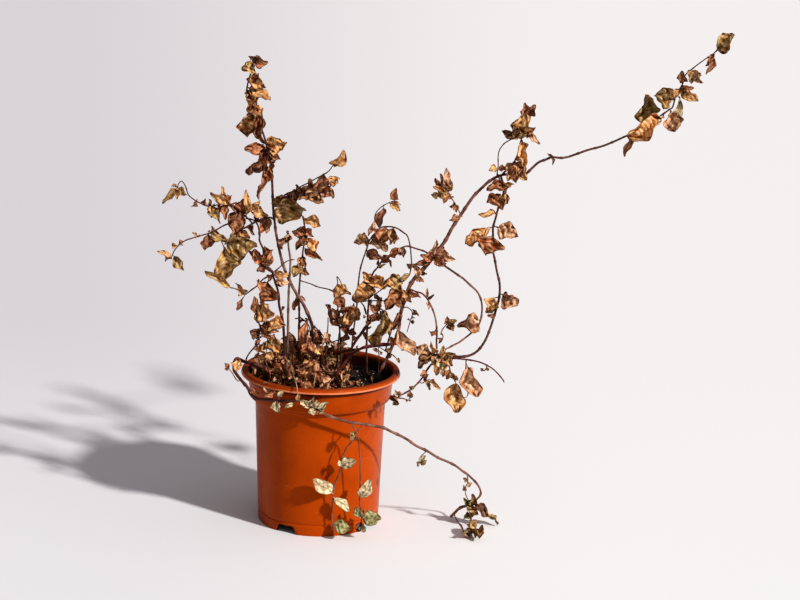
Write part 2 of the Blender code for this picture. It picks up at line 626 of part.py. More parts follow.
stem_low = shoot("stem_low", [
    ([(12, 122, -20), (18, 131, -20), (25, 140, -20), (35, 146.5, -20), (48, 149.5, -19), (60, 150, -18),
      (68, 150, -18), (76, 148.3, -18), (82, 146.5, -18), (88, 144, -19), (95, 141.3, -20),
      (103, 139.6, -23), (111.2, 139.2, -27), (120.4, 138.4, -31), (128.7, 137, -35), (135.9, 134.2, -39),
      (142.1, 130.2, -43), (148.7, 123.2, -47), (150.6, 119.8, -48)], 1.3, 0.45),
    ([(95, 141.3, -20), (91, 135, -21), (87, 129, -23), (85.7, 125.4, -25), (83.1, 121.8, -27),
      (80.3, 118, -30), (76.9, 114.4, -33), (73.4, 111.1, -36), (69.2, 108.4, -40), (65, 106.1, -43),
      (63.7, 104.5, -44)], 0.75, 0.65),
    ([(104, 139.6, -23.5), (104.5, 134, -24.5), (106.2, 128, -25.5), (106.8, 122.5, -26)], 0.5, 0.4),
    ([(135.5, 134.2, -39), (135.1, 131, -39), (133, 129.5, -38.5), (131.2, 129.8, -38)], 0.45, 0.4),
    ([(80.6, 118.4, -29.7), (83.1, 117.4, -30), (85.9, 119.2, -30), (89, 121, -30)], 0.35, 0.35),
    ([(64, 104.9, -43.8), (68, 103.8, -45), (73.7, 102.2, -46)], 0.4, 0.3)],
    [blade((93, 142, -19.6), (82.5, 130.5, -24), 9),
     blade((92, 142.4, -19.5), (82.3, 137, -22), 7),
     blade((90.5, 143, -19.2), (90.5, 150.8, -22), 5),
     blade((96, 141, -20.2), (98, 149, -25), 6),
     blade((96, 141, -20.2), (97, 130, -25), 8),
     blade((97, 140.8, -20.5), (94, 125.5, -24), 7),
     blade((98, 140.6, -21), (99, 125.5, -25), 6),
     blade((77, 148, -18), (88.5, 142, -22), 7),
     blade((105.5, 130.5, -25.1), (115.5, 114, -26), 7),
     blade((88.5, 120.5, -30), (88.8, 126.5, -32), 5),
     blade((88.5, 121, -30), (91.5, 113.5, -33), 5),
     blade((64.2, 105.5, -43.5), (61.5, 100.5, -46), 5.5)], kind="stem_pale")

leaf("leaf_curled", (107.3, 119.6, -28), (107, 94, -34), 17, fold=0.5)
leaf("leaf_broad", (117.5, 134.6, -32), (126.5, 107.5, -37), 19, fold=0.35)

stem_draped = shoot("stem_draped", [
    ([(-51.5, 171, -24), (-51.5, 165, -26), (-50, 159.5, -28), (-51.5, 153, -30), (-51, 147.5, -31),
      (-55, 143.5, -31), (-58.5, 139, -30), (-61, 134.5, -28)], 0.55, 0.45),
    ([(-45, 161.5, -28.3), (-45, 154.5, -28), (-44, 148, -27), (-45, 144, -26)], 0.4, 0.35)],
    [blade((-51.5, 170, -24.3), (-54, 184.5, -28), 6),
     blade((-51.5, 169.5, -24.5), (-37, 174, -29), 12),
     blade((-50.3, 160.5, -27.6), (-30.5, 162, -30), 10, bow=0.02),
     blade((-51.3, 154, -29.7), (-57, 158.5, -33), 7)])

stem_whorl = shoot("stem_whorl", [
    ([(-31, 158.5, -18), (-31.3, 162, -18.5), (-32.5, 170, -20), (-35, 180, -24), (-35.5, 189, -27),
      (-37.5, 196.5, -30), (-40, 203.5, -32), (-41, 208, -33), (-46, 213, -34), (-47.5, 219.5, -35),
      (-48.5, 226, -36), (-51.5, 233, -37), (-51, 235.5, -37)], 1.0, 0.4),
    ([(-41, 207, -32.8), (-49, 212.5, -34), (-52, 214.5, -35), (-59, 221.5, -37)], 1.2, 1.0),
    ([(-40, 206, -32.5), (-35, 211.5, -31), (-29.5, 216.5, -30)], 0.5, 0.4),
    ([(-40.3, 205, -32.4), (-43.5, 204, -33), (-49, 200.5, -34), (-52.5, 196, -35), (-57.5, 192, -35),
      (-63, 187.5, -35)], 0.55, 0.45)],
    [blade((-48, 212.5, -34), (-53, 208.5, -38), 7),
     blade((-52, 215, -35), (-55, 224.5, -38), 5),
     blade((-47, 217.5, -34.7), (-43, 213, -38), 6),
     blade((-37.5, 197, -30), (-29, 205, -33), 9),
     blade((-62.5, 188, -35), (-69.5, 196, -38), 6),
     blade((-62.7, 187.8, -35), (-69, 175.5, -38), 4.5)])

leaf("leaf_whorl_folded", (-44.5, 200.3, -37), (-48.5, 183.5, -41), 10)
leaf("leaf_whorl_gold", (-33.8, 155.5, -18), (-37, 142, -21), 9)
leaf("leaf_left_gold", (-75.8, 229.2, -15), (-55.5, 223, -20), 16, fold=0.35)
leaf("leaf_left_egg", (-80.8, 226.5, -15), (-80.5, 200.5, -19), 17.5, fold=0.35)
leaf("leaf_left_long", (-73, 192.5, -34), (-93, 204.6, -30), 7.5)

shoot_left = shoot("shoot_left", [
    ([(-43.6, 252.3, 22), (-50.5, 250.5, 17), (-58, 246.5, 10), (-66, 242.5, 4), (-75, 246, 0),
      (-80, 244.8, -2), (-87, 240.5, -5), (-92.5, 237.9, -7), (-99, 235.8, -9), (-106, 233.4, -12),
      (-111.5, 231.3, -14), (-115.9, 228, -16), (-119.3, 224.2, -18), (-121.2, 220.7, -19),
      (-122, 218.2, -20)], 0.8, 0.45),
    ([(-57, 247, 11), (-60, 250, 11.5), (-64, 253.5, 9), (-70, 259, 5), (-77, 263, 2), (-85, 261.5, -2),
      (-93, 260, -6), (-100, 262.6, -9), (-105, 265.5, -11), (-109, 269, -13), (-111.5, 276, -15),
      (-114.5, 280, -17), (-117, 277.5, -18), (-118, 273.5, -19)], 0.65, 0.35)],
    [blade((-121.8, 218.6, -20), (-133.2, 221.5, -24), 4),
     blade((-121.8, 218.8, -20), (-113.5, 207.4, -23), 5),
     blade((-91, 238.5, -6.5), (-94.5, 224.5, -12), 10),
     blade((-89, 239.5, -5.8), (-78, 232, -12), 5),
     blade((-117.8, 274.5, -18.8), (-128.8, 262, -23), 6),
     blade((-117.8, 274.5, -18.8), (-110.8, 269.5, -20), 4.5),
     blade((-76.5, 262.7, 2), (-90, 268.5, -4), 6, bow=0.3),
     blade((-87, 261.2, -3), (-92, 249.5, -8), 10),
     blade((-81, 262.3, 0), (-78, 248, -6), 8),
     blade((-69.5, 258.5, 5.3), (-68.5, 236, -4), 10),
     blade((-61, 251, 11), (-61.5, 273.5, 6), 6),
     blade((-60, 250, 11.3), (-46, 252, 7), 8)])

stem_trailing = shoot("stem_trailing", [
    ([(-36, 121, -12), (-44, 125, -15), (-52, 128.5, -19), (-60, 130.5, -23), (-66, 132.5, -26),
      (-69, 134, -27), (-71.4, 130, -28), (-71.3, 125, -29), (-69.6, 121.2, -31), (-66.5, 117, -34),
      (-62.8, 112.6, -37), (-59.8, 109, -40), (-57.9, 104.6, -41), (-55.5, 101.6, -42.5),
      (-51.3, 99.9, -45), (-45.2, 99.4, -49), (-41, 99.2, -51.5), (-33, 98.8, -55.5), (-25, 98.8, -58.5),
      (-18.3, 99, -60), (-10, 96, -61.5), (0, 90.7, -62.5), (7, 86.9, -63), (14.8, 84.7, -63),
      (22.5, 82.8, -62.5), (28.6, 81.7, -62), (34.7, 81.1, -61.5), (40.9, 80.2, -60.5), (47, 79.2, -58),
      (53.2, 77.9, -55), (59.4, 74.9, -51), (66, 72, -47), (73, 68.3, -43.5), (79.8, 63.5, -40),
      (89, 59.3, -36), (95, 55.6, -33), (99.7, 53, -30), (106.3, 50.4, -27), (113, 47.1, -24),
      (118.5, 43, -21), (123.2, 39.9, -18), (126.6, 36.9, -15), (130.7, 32.8, -12), (133.5, 28.7, -10),
      (134.9, 24.6, -8), (134.3, 21.1, -8), (131.8, 18.2, -8), (128.5, 13, -9), (126.5, 6, -11),
      (127.5, 1, -12), (129, -3, -15), (130, -8.2, -28), (132, -15.5, -47)], 1.3, 0.7),
    ([(88.5, 59.4, -36), (87.2, 57.5, -36.5), (84, 53.9, -38), (83.9, 49.7, -38), (84.9, 46.5, -38)],
     0.4, 0.35),
    ([(123.2, 39.6, -18), (123.8, 33.4, -19), (122.3, 29.2, -19), (122.1, 24.3, -19),
      (123.3, 20.1, -17), (125.5, 16.4, -13), (127.6, 14.8, -10.5)], 0.4, 0.35),
    ([(128, 13, -9.2), (121, 11.5, -8), (117, 9.3, -6), (113.8, 5.7, -4), (110.5, 2, -1.5)], 1.0, 1.2),
    ([(113.8, 5, -4), (114.8, 1.2, -3.5), (117.5, -2.8, -9.5), (120.3, -5.6, -17), (121.7, -9.8, -28),
      (123.2, -13.3, -37)], 0.4, 0.35),
    ([(-65.5, 115.8, -34.8), (-67.5, 114.5, -36), (-70, 117, -36.5), (-72.4, 121, -36.5),
      (-74.7, 124.2, -36.5), (-75.9, 126.6, -36.5)], 0.4, 0.35),
    ([(-34.5, 99.2, -55), (-33.5, 97, -56.5), (-30, 94, -58), (-27.5, 92.5, -59)], 0.4, 0.35)],
    [blade((-69.8, 122, -30.7), (-67.5, 133, -26.5), 6),
     blade((-75.5, 126, -36.5), (-78.6, 128.8, -38), 3),
     blade((-35, 98.8, -55), (-33, 88.5, -58), 7),
     blade((-12, 96.8, -61), (-14, 105, -65), 5),
     blade((-8, 95, -61.5), (-2, 101.5, -65), 7),
     blade((-3, 92.3, -62), (-9, 89.5, -65), 6),
     blade((-1, 91.3, -62.3), (5, 98, -66), 6),
     blade((128.8, 13.5, -8.9), (128.2, 22, -14), 6),
     blade((128.5, 13, -9), (127, 3, -16), 8),
     blade((129.2, 14, -8.8), (141.5, 4, -13), 8),
     blade((137.5, 7.2, -11.6), (149.5, -2.5, -14), 7, roll=1.3, fold=0.2, bow=0.0),
     blade((130, -6, -26), (134.5, -15, -52), 9, roll=1.3, fold=0.15, bow=0.05),
     blade((129.7, -4.2, -23), (121, -11.6, -48), 8, roll=1.3, fold=0.15, bow=0.05)])

stem_dangling_left = shoot("stem_dangling_left", [(
    [(27.8, 78.9, -62), (28.5, 75.5, -62.2), (28.5, 71.5, -62), (26.6, 65.1, -61), (23.6, 61.4, -60.5),
     (21, 56.5, -60), (19.2, 51.6, -59.5), (18, 45, -59), (17.5, 40.2, -58.5), (16.4, 36.2, -58),
     (14.6, 31.3, -57.5), (13.2, 26.4, -57), (12.6, 20, -56.5), (12.3, 16.2, -56), (11.6, 9, -55.5),
     (11.4, 2.9, -55), (11.9, -3.6, -54.5), (12.4, -9.3, -54), (12.1, -16, -53.5)], 0.55, 0.5)],
    [blade((28.3, 71.5, -62), (25.3, 67, -65), 5),
     blade((18, 44.5, -59), (30, 47.5, -63), 11),
     blade((12.8, 19, -56.4), (-5, 31.8, -60), 12),
     blade((12.4, 16.5, -56), (26.6, 4.8, -60), 10),
     blade((12, -5, -54.4), (25.5, -11.5, -58), 9)], kind="stem_pale")

stem_dangling_right = shoot("stem_dangling_right", [(
    [(34.2, 78.2, -61.5), (33.4, 74.5, -62), (31.9, 69, -61.5), (32.8, 61.7, -60.5), (33.6, 54.5, -59.5),
     (34.2, 46.4, -58.5), (34.3, 38.3, -57.5), (34.4, 30.2, -56.5), (34.4, 23.7, -56), (34.3, 17.2, -55.5),
     (34.4, 11.5, -55), (35.7, 5.9, -54), (36.8, 1.1, -53), (36.3, -3, -52.5), (35.7, -12, -52)],
    0.55, 0.5)],
    [blade((34.5, 16, -55.4), (42.8, 33, -59), 11),
     blade((36, -1, -52.7), (31, 8, -56), 5),
     blade((36.5, -0.5, -52.8), (52.3, 1, -56), 12),
     blade((36.1, -5, -52.3), (36.8, -14, -54), 5)], kind="stem_pale")

twig_over_rim = shoot("twig_over_rim", [(
    [(-29.5, 136.9, -17), (-27.7, 133, -21), (-24.6, 128.7, -30), (-23.3, 122.5, -42), (-21.4, 117.6, -54),
     (-19.8, 112.6, -62), (-19.1, 107.6, -66.5), (-18.4, 104.2, -67)], 0.5, 0.45)], kind="stem_pale")
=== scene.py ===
# %% [markdown]
# # A dead houseplant in a nursery pot
# The real thing is a mint-like plant that has dried out: leggy stems lean and trail out of a
# terracotta-coloured plastic pot, and curled brown leaves hang on them.  The solids that give it
# its size come first, as a fixed frame.  Every visible surface is then worked out with numpy as a
# function of two parameters, and stands for the solid in the same place.

import math

import bmesh
import bpy
import numpy as np
from mathutils import Matrix, Vector


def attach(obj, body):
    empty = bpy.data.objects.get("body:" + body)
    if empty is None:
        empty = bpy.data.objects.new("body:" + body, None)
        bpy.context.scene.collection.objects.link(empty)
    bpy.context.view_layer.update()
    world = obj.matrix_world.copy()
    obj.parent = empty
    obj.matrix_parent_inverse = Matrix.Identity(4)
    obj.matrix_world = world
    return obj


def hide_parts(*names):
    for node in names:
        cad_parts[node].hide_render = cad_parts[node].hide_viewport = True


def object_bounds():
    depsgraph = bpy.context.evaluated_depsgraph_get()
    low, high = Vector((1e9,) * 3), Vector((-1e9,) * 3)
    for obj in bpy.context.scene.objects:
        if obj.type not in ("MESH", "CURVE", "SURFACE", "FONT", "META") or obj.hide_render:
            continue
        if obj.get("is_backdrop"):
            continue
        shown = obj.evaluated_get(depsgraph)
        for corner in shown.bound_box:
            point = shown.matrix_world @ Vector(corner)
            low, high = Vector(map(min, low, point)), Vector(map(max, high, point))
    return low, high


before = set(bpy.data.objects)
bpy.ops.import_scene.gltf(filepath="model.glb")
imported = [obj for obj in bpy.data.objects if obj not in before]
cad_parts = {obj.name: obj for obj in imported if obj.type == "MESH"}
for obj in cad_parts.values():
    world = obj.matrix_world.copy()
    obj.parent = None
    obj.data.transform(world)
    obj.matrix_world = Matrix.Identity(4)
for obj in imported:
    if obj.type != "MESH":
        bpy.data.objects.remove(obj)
cad_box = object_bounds()
print("solids:", len(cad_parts), "box:", [[round(v, 4) for v in corner] for corner in cad_box])

# %% [markdown]
# ## Where things are
# Stems and leaves were laid out as an elevation.  Two numbers are read on the upright plane
# through the pot's axis, as the camera sees it, and the third is the depth behind (+) or in front
# (-) of that plane.  One small function turns such triples into points of the frame.

# %% From the elevation to the frame
MM = 0.001
POT_AXIS = np.array([-0.0983, 0.0012, 0.0])
SEEN_FROM = np.array([0.0631, -1.5763, 0.5778])


def place(points):
    """Triples x, z, depth in millimetres to points in metres.

    Each point slides along its line of sight: eye + (point on the plane - eye) * reach, where reach
    is one plus the depth over the eye's distance.
    """
    x, z, depth = (np.asarray(points, float).reshape(-1, 3) * MM).T
    on_plane = np.stack([x, np.zeros_like(x), z], axis=1)
    reach = 1.0 - depth / SEEN_FROM[1]
    return SEEN_FROM + (on_plane - SEEN_FROM) * reach[:, None] + POT_AXIS


print("the pot's axis meets the table at", place([(0, 0, 0)])[0].round(4))

# %% [markdown]
# ## Camera, table and light
# The photograph is taken from a little above with a long lens, against a pale sweep of paper.  One
# strong light, a few degrees wide, stands to the right and in front, about 32 degrees up, so the
# shadow falls to the left and back.  A faint light fills the shadow: its strength in a direction
# grows with the cosine of the angle to the side that it comes from.  The table is one large plane,
# so large that its far edge lies above the top of the picture.

# %% Camera
camera = bpy.data.objects.new("camera", bpy.data.cameras.new("camera"))
bpy.context.scene.collection.objects.link(camera)
camera.data.lens = 90.0
camera.data.sensor_width = 36.0
camera.data.clip_end = 100.0
camera.location = Vector(SEEN_FROM + POT_AXIS)
LOOKS_DOWN = 13.92
ROLLED = 1.67
tilt = Matrix.Rotation(math.radians(90.0 - LOOKS_DOWN), 4, "X")
lean = tilt @ Matrix.Rotation(math.radians(ROLLED), 4, "Z")
camera.rotation_euler = lean.to_euler()
bpy.context.scene.camera = camera
print("camera at", [round(v, 3) for v in camera.location])

# %% Lights


def new_lamp(name, kind, stands_at, aims_at, energy, colour):
    """A lamp at one point, turned so that its -Z axis runs to another."""
    data = bpy.data.lights.new(name, kind)
    data.energy = energy
    data.color = colour
    lamp = bpy.data.objects.new(name, data)
    bpy.context.scene.collection.objects.link(lamp)
    lamp.location = Vector(stands_at)
    lamp.rotation_euler = (Vector(aims_at) - Vector(stands_at)).to_track_quat("-Z", "Y").to_euler()
    return lamp


TO_LIGHT = np.array([1.25, -0.95, 1.0])
KEY_WIDTH = math.radians(3.4)
KEY_STRENGTH = 4.3
KEY_COLOUR = (1.0, 0.97, 0.945)
key = new_lamp("key_light", "SUN", TO_LIGHT, (0, 0, 0), KEY_STRENGTH, KEY_COLOUR)
key.data.angle = KEY_WIDTH

FILL_FROM = np.array([0.55, -0.25, 0.80])
FILL_COLOUR = (0.96, 0.90, 0.93, 1.0)
FILL_LEAST, FILL_MOST = 0.12, 0.62
world = bpy.data.worlds.new("fill")
bpy.context.scene.world = world
world.use_nodes = True
sky = world.node_tree
looking = sky.nodes.new("ShaderNodeTexCoord").outputs["Generated"]
towards = sky.nodes.new("ShaderNodeVectorMath")
towards.operation = "DOT_PRODUCT"
towards.inputs[1].default_value = FILL_FROM
sky.links.new(looking, towards.inputs[0])
strength = sky.nodes.new("ShaderNodeMapRange")
strength.inputs["To Min"].default_value = FILL_LEAST
strength.inputs["To Max"].default_value = FILL_MOST
sky.links.new(towards.outputs["Value"], strength.inputs["Value"])
sky.nodes["Background"].inputs["Color"].default_value = FILL_COLOUR
sky.links.new(strength.outputs["Result"], sky.nodes["Background"].inputs["Strength"])
bpy.context.scene.view_settings.view_transform = "Standard"
bpy.context.scene.view_settings.look = "Medium High Contrast"
bpy.context.scene.view_settings.exposure = -0.25
print("key light from", TO_LIGHT)

# %% [markdown]
# ## Finishes
# The look of a surface is a small network of shader nodes.  One class keeps such a network and gives
# short names to the few nodes used here, so that each look below reads as a formula.

# %% Shader networks


class Finish:
    """A material, with short names for the shader nodes that the looks below are made of."""

    def __init__(self, name, roughness=0.6, gloss=0.5):
        self.material = bpy.data.materials.new(name)
        self.material.use_nodes = True
        self.tree = self.material.node_tree
        self.shade(Roughness=roughness, Specular_IOR_Level=gloss)

    def feed(self, made, sockets):
        """Set or link inputs; _ in a name stands for a space, and i0, i1 ... for an input's number."""
        for name, value in sockets.items():
            key = int(name[1:]) if name[0] == "i" and name[1:].isdigit() else name.replace("_", " ")
            if isinstance(value, bpy.types.NodeSocket):
                self.tree.links.new(value, made.inputs[key])
            else:
                made.inputs[key].default_value = value
        return made

    def node(self, kind, settings=(), **sockets):
        """A new shader node with these settings and inputs."""
        made = self.tree.nodes.new("ShaderNode" + kind)
        for name, value in settings:
            setattr(made, name, value)
        return self.feed(made, sockets)

    def shade(self, **sockets):
        """Set or link inputs of the surface shader."""
        self.feed(self.tree.nodes["Principled BSDF"], sockets)

    def maths(self, operation, first, second=0.0, third=0.0):
        return self.node("Math", [("operation", operation)], i0=first, i1=second, i2=third).outputs[0]

    def times(self, first, second):
        return self.maths("MULTIPLY", first, second)

    def plus(self, first, second):
        return self.maths("ADD", first, second)

    def minus(self, first, second):
        return self.maths("SUBTRACT", first, second)

    def between(self, value, low, high):
        """0 below low, 1 above high, and smooth in between."""
        settings = [("interpolation_type", "SMOOTHSTEP")]
        return self.node("MapRange", settings, Value=value, From_Min=low, From_Max=high).outputs["Result"]

    def mixed(self, share, first, second, blend_type="MIX"):
        """Two colours mixed in this share."""
        settings = [("data_type", "RGBA"), ("blend_type", blend_type)]
        return self.node("Mix", settings, i0=share, i6=first, i7=second).outputs[2]

    def attribute(self, name, output):
        return self.node("Attribute", [("attribute_name", name)]).outputs[output]

    def spot(self):
        """The X, Y and Z of the place in Object coordinates."""
        return self.node("SeparateXYZ", Vector=self.node("TexCoord").outputs["Object"]).outputs

    def noise(self, scale, detail=3.0, roughness=0.55, stretch=(1, 1, 1)):
        """Noise in Object coordinates, around 0.5."""
        where = self.node("Mapping", Vector=self.node("TexCoord").outputs["Object"], Scale=stretch)
        where = where.outputs["Vector"]
        made = self.node("TexNoise", Vector=where, Scale=scale, Detail=detail, Roughness=roughness)
        return made.outputs["Fac"]

    def bump(self, height, strength, distance):
        """Tilt the surface's normal as this height asks, with the distance in metres."""
        made = self.node("Bump", Height=height, Strength=strength, Distance=distance)
        self.shade(Normal=made.outputs["Normal"])


print("short names:", ", ".join(name for name in vars(Finish) if name[0] != "_"))

# %% [markdown]
# The paper under the plant is one large plane.  Its colour carries painted light and shade: it is
# darker towards the left, where less light falls on the sweep, so its tone follows x over the
# distance from the eye, and it is lighter and cooler in front.

# %% Table
NEAREST = 1.2
paper = Finish("table_paper", 0.9, gloss=0.1)
spot = paper.spot()
from_eye = paper.maths("MAXIMUM", paper.plus(spot["Y"], 1.6), NEAREST)
to_right = paper.between(paper.maths("DIVIDE", spot["X"], from_eye), -0.2, 0.09)
to_front = paper.times(paper.between(spot["Y"], 0.7, -0.3), 0.6)
sweep = paper.mixed(to_right, (0.645, 0.635, 0.665, 1), (0.828, 0.831, 0.828, 1))
paper.shade(Base_Color=paper.mixed(to_front, sweep, (0.835, 0.868, 0.875, 1)))
table_mesh = bpy.data.meshes.new("table")
table_mesh.from_pydata([(-30, -30, 0), (30, -30, 0), (30, 60, 0), (-30, 60, 0)], [], [(0, 1, 2, 3)])
table_mesh.materials.append(paper.material)
table = bpy.data.objects.new("table", table_mesh)
bpy.context.scene.collection.objects.link(table)
table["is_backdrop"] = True
print("table:", [round(v, 1) for v in table.dimensions])

# %% [markdown]
# ## From arrays to a piece
# Every surface below comes as rows of points, and a piece of the plant gathers many surfaces.  A
# surface that closes on itself across its rows, and runs to one point at each end, is a closed
# body: stems, leaves, crumbs and even the pot are all made that way.  The faces follow from the
# row and column numbers alone, so they are worked out once for the whole grid.

# %% Closed surfaces


def closed_surface(first, rings, last, **values):
    """Faces of a body: a point, then rings of equal length, then a point.

    rings has the shape (rows, columns, 3).  A value may be one number or colour for the whole body,
    or an array of shape (rows + 2, columns, k), whose first and last rows speak for the two points.
    """
    rows, columns = rings.shape[:2]
    ends = np.reshape(first, (1, 3)), np.reshape(last, (1, 3))
    points = np.concatenate([ends[0], rings.reshape(-1, 3), ends[1]])
    row = np.arange(rows - 1)[:, None] * columns + 1
    here = np.arange(columns)[None, :]
    there = (here + 1) % columns
    quads = np.stack([row + here, row + there, row + columns + there, row + columns + here], -1)
    quads = quads.reshape(-1, 4)
    here, there = here[0], there[0]
    end = rows * columns + 1
    fans = np.concatenate([
        np.stack([np.zeros_like(here), 1 + there, 1 + here], -1),
        np.stack([np.full_like(here, end), end - columns + here, end - columns + there], -1),
    ])
    spread = {}
    for name, value in values.items():
        value = np.asarray(value, float)
        if value.ndim == 1:
            spread[name] = np.tile(value, (len(points), 1))
        else:
            middle = value[1:-1].reshape(-1, value.shape[-1])
            spread[name] = np.concatenate([value[0, :1], middle, value[-1, :1]])
    return {"points": points, "quads": quads, "fans": fans, "values": spread}


def with_ends(values):
    """The rows with the first and the last one repeated, for the two end points of a body."""
    return np.concatenate([values[:1], values, values[-1:]])


def turned_outwards(body):
    """The body, its faces turned round if its signed volume, the sum of a.(b x c) / 6, is negative."""
    points, quads, fans = body["points"], body["quads"], body["fans"]
    corners = np.concatenate([quads[:, [0, 1, 2]], quads[:, [0, 2, 3]], fans])
    a, b, c = (points[corners[:, i]] - points.mean(0) for i in range(3))
    if (a * np.cross(b, c)).sum() < 0:
        body["quads"], body["fans"] = quads[:, ::-1], fans[:, ::-1]
    return body


def join_plant(name, mesh, finish, nodes=()):
    """An object with this mesh and finish that rides the one body and stands for these solids."""
    mesh.materials.append(finish.material)
    piece = bpy.data.objects.new(name, mesh)
    bpy.context.scene.collection.objects.link(piece)
    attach(piece, "root")
    if nodes:
        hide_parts(*nodes)
    return piece


def new_piece(name, bodies, finish, nodes=()):
    """One object from many bodies, with smooth faces; nothing reaches below the table."""
    for body in bodies:
        body["points"][:, 2] = np.maximum(body["points"][:, 2], 0.0)
    bodies = [turned_outwards(body) for body in bodies]
    counts = np.array([len(body["points"]) for body in bodies])
    starts = np.concatenate([[0], np.cumsum(counts)[:-1]])
    points = np.concatenate([body["points"] for body in bodies])
    quads = np.concatenate([body["quads"] + start for body, start in zip(bodies, starts)])
    fans = np.concatenate([body["fans"] + start for body, start in zip(bodies, starts)])
    mesh = bpy.data.meshes.new(name)
    mesh.vertices.add(len(points))
    mesh.vertices.foreach_set("co", points.astype(np.float32).ravel())
    mesh.loops.add(quads.size + fans.size)
    corners = np.concatenate([quads.ravel(), fans.ravel()])
    mesh.loops.foreach_set("vertex_index", corners.astype(np.int32))
    mesh.polygons.add(len(quads) + len(fans))
    sides = np.concatenate([np.full(len(quads), 4), np.full(len(fans), 3)])
    mesh.polygons.foreach_set("loop_start", (np.cumsum(sides) - sides).astype(np.int32))
    mesh.polygons.foreach_set("use_smooth", np.full(len(sides), True))
    for key_name in bodies[0]["values"]:
        rows = np.concatenate([body["values"][key_name] for body in bodies])
        if key_name == "tint":
            layer = mesh.attributes.new(key_name, "FLOAT_COLOR", "POINT")
            rows = np.concatenate([rows, np.ones((len(rows), 1))], axis=1)
            layer.data.foreach_set("color", rows.astype(np.float32).ravel())
        else:
            layer = mesh.attributes.new(key_name, "FLOAT_VECTOR", "POINT")
            layer.data.foreach_set("vector", rows.astype(np.float32).ravel())
    mesh.update(calc_edges=True)
    return join_plant(name, mesh, finish, nodes)


sample = closed_surface((0, 0, 0), np.zeros((3, 8, 3)), (0, 0, 1))
print("three rings of eight:", len(sample["quads"]), "quads and", len(sample["fans"]), "triangles")

# %% [markdown]
# ## Smooth paths
# A stem grows in one flowing line.  The hand-laid points are joined by Catmull-Rom cubics, which
# pass through every point, and the curve is read off again at equal steps, so that rings along it
# are evenly spaced.

# %% Paths and frames


def smooth_path(points, step):
    """Points at equal steps along the Catmull-Rom curve through these points."""
    padded = np.concatenate([[2 * points[0] - points[1]], points, [2 * points[-1] - points[-2]]])
    t = np.linspace(0, 1, 12, endpoint=False)[:, None, None]
    before, here, there, after = padded[:-3], padded[1:-2], padded[2:-1], padded[3:]
    curve = 0.5 * (2 * here + (there - before) * t + (2 * before - 5 * here + 4 * there - after) * t ** 2
                   + (3 * here - before - 3 * there + after) * t ** 3)
    curve = np.concatenate([curve.transpose(1, 0, 2).reshape(-1, 3), points[-1:]])
    walked = np.concatenate([[0], np.cumsum(np.linalg.norm(np.diff(curve, axis=0), axis=1))])
    count = max(4, int(round(walked[-1] / step)) + 1)
    at = np.linspace(0, walked[-1], count)
    return np.stack([np.interp(at, walked, curve[:, i]) for i in range(3)], axis=1)


def path_frames(path):
    """Two unit normals at each point of a path, carried along it without twisting."""
    tangent = np.gradient(path, axis=0)
    tangent /= np.linalg.norm(tangent, axis=1)[:, None]
    side = np.zeros_like(path)
    side[0] = np.cross(tangent[0], (0.3, 0.9, 0.2))
    for i in range(1, len(path)):
        side[i] = side[i - 1] - tangent[i] * side[i - 1].dot(tangent[i])
        side[i] /= np.linalg.norm(side[i])
    side[0] /= np.linalg.norm(side[0])
    return side, np.cross(tangent, side)


def nearest_on(paths, point):
    """The distance to the nearest point of these paths, that point, and the path's direction there."""
    every = np.concatenate(paths)
    direction = np.concatenate([np.gradient(path, axis=0) for path in paths])
    gaps = np.linalg.norm(every - point, axis=1)
    best = int(gaps.argmin())
    return gaps[best], every[best], direction[best] / np.linalg.norm(direction[best])


print("three points, read off at 1 mm:", len(smooth_path(np.eye(3) * 10, 1.0)), "points")

# %% [markdown]
# ## Finishes that follow the growth
# Dead leaves run from gold to rust to nearly black, and no two are alike.  Each body carries its
# own colours as an attribute, `tint`, worked out in numpy from a tone of four colours.  A second
# attribute, `vein`, says where on the leaf a point is, so that the shader can draw the midrib and
# the side veins on any curl.  Fine mottling comes from noise in Object coordinates.

# %% Tones: body, margin, rib, blotch
TONES = {
    "gold": ((0.61, 0.325, 0.112), (0.163, 0.033, 0.014), (0.70, 0.545, 0.30), (0.265, 0.083, 0.028)),
    "rust": ((0.41, 0.145, 0.048), (0.091, 0.018, 0.009), (0.53, 0.32, 0.17), (0.14, 0.032, 0.017)),
    "maroon": ((0.18, 0.047, 0.018), (0.052, 0.011, 0.006), (0.39, 0.20, 0.10), (0.42, 0.185, 0.056)),
    "olive": ((0.41, 0.255, 0.082), (0.104, 0.034, 0.013), (0.49, 0.39, 0.20), (0.15, 0.067, 0.022)),
    "peach": ((0.65, 0.375, 0.20), (0.24, 0.064, 0.03), (0.72, 0.57, 0.42), (0.44, 0.19, 0.085)),
    "cream": ((0.681, 0.586, 0.371), (0.124, 0.078, 0.033), (0.223, 0.172, 0.081), (0.371, 0.333, 0.168)),
    "pale_green": ((0.34, 0.335, 0.154), (0.088, 0.062, 0.023), (0.172, 0.156, 0.065), (0.15, 0.162, 0.063)),
    "dark": ((0.095, 0.03, 0.013), (0.029, 0.009, 0.005), (0.187, 0.081, 0.041), (0.239, 0.088, 0.028)),
}
STEM_TONES = {
    "stem": ((0.070, 0.020, 0.017), (0.150, 0.052, 0.036)),
    "stem_pale": ((0.150, 0.058, 0.042), (0.33, 0.165, 0.115)),
    "stem_red": ((0.135, 0.016, 0.017), (0.20, 0.048, 0.038)),
    "stem_grey": ((0.14, 0.092, 0.064), (0.30, 0.215, 0.155)),
    "stem_black": ((0.030, 0.014, 0.013), (0.080, 0.035, 0.026)),
    "stem_straw": ((0.30, 0.20, 0.12), (0.50, 0.37, 0.25)),
}
print("leaf tones:", ", ".join(TONES))

# %% Leaf and stem finishes


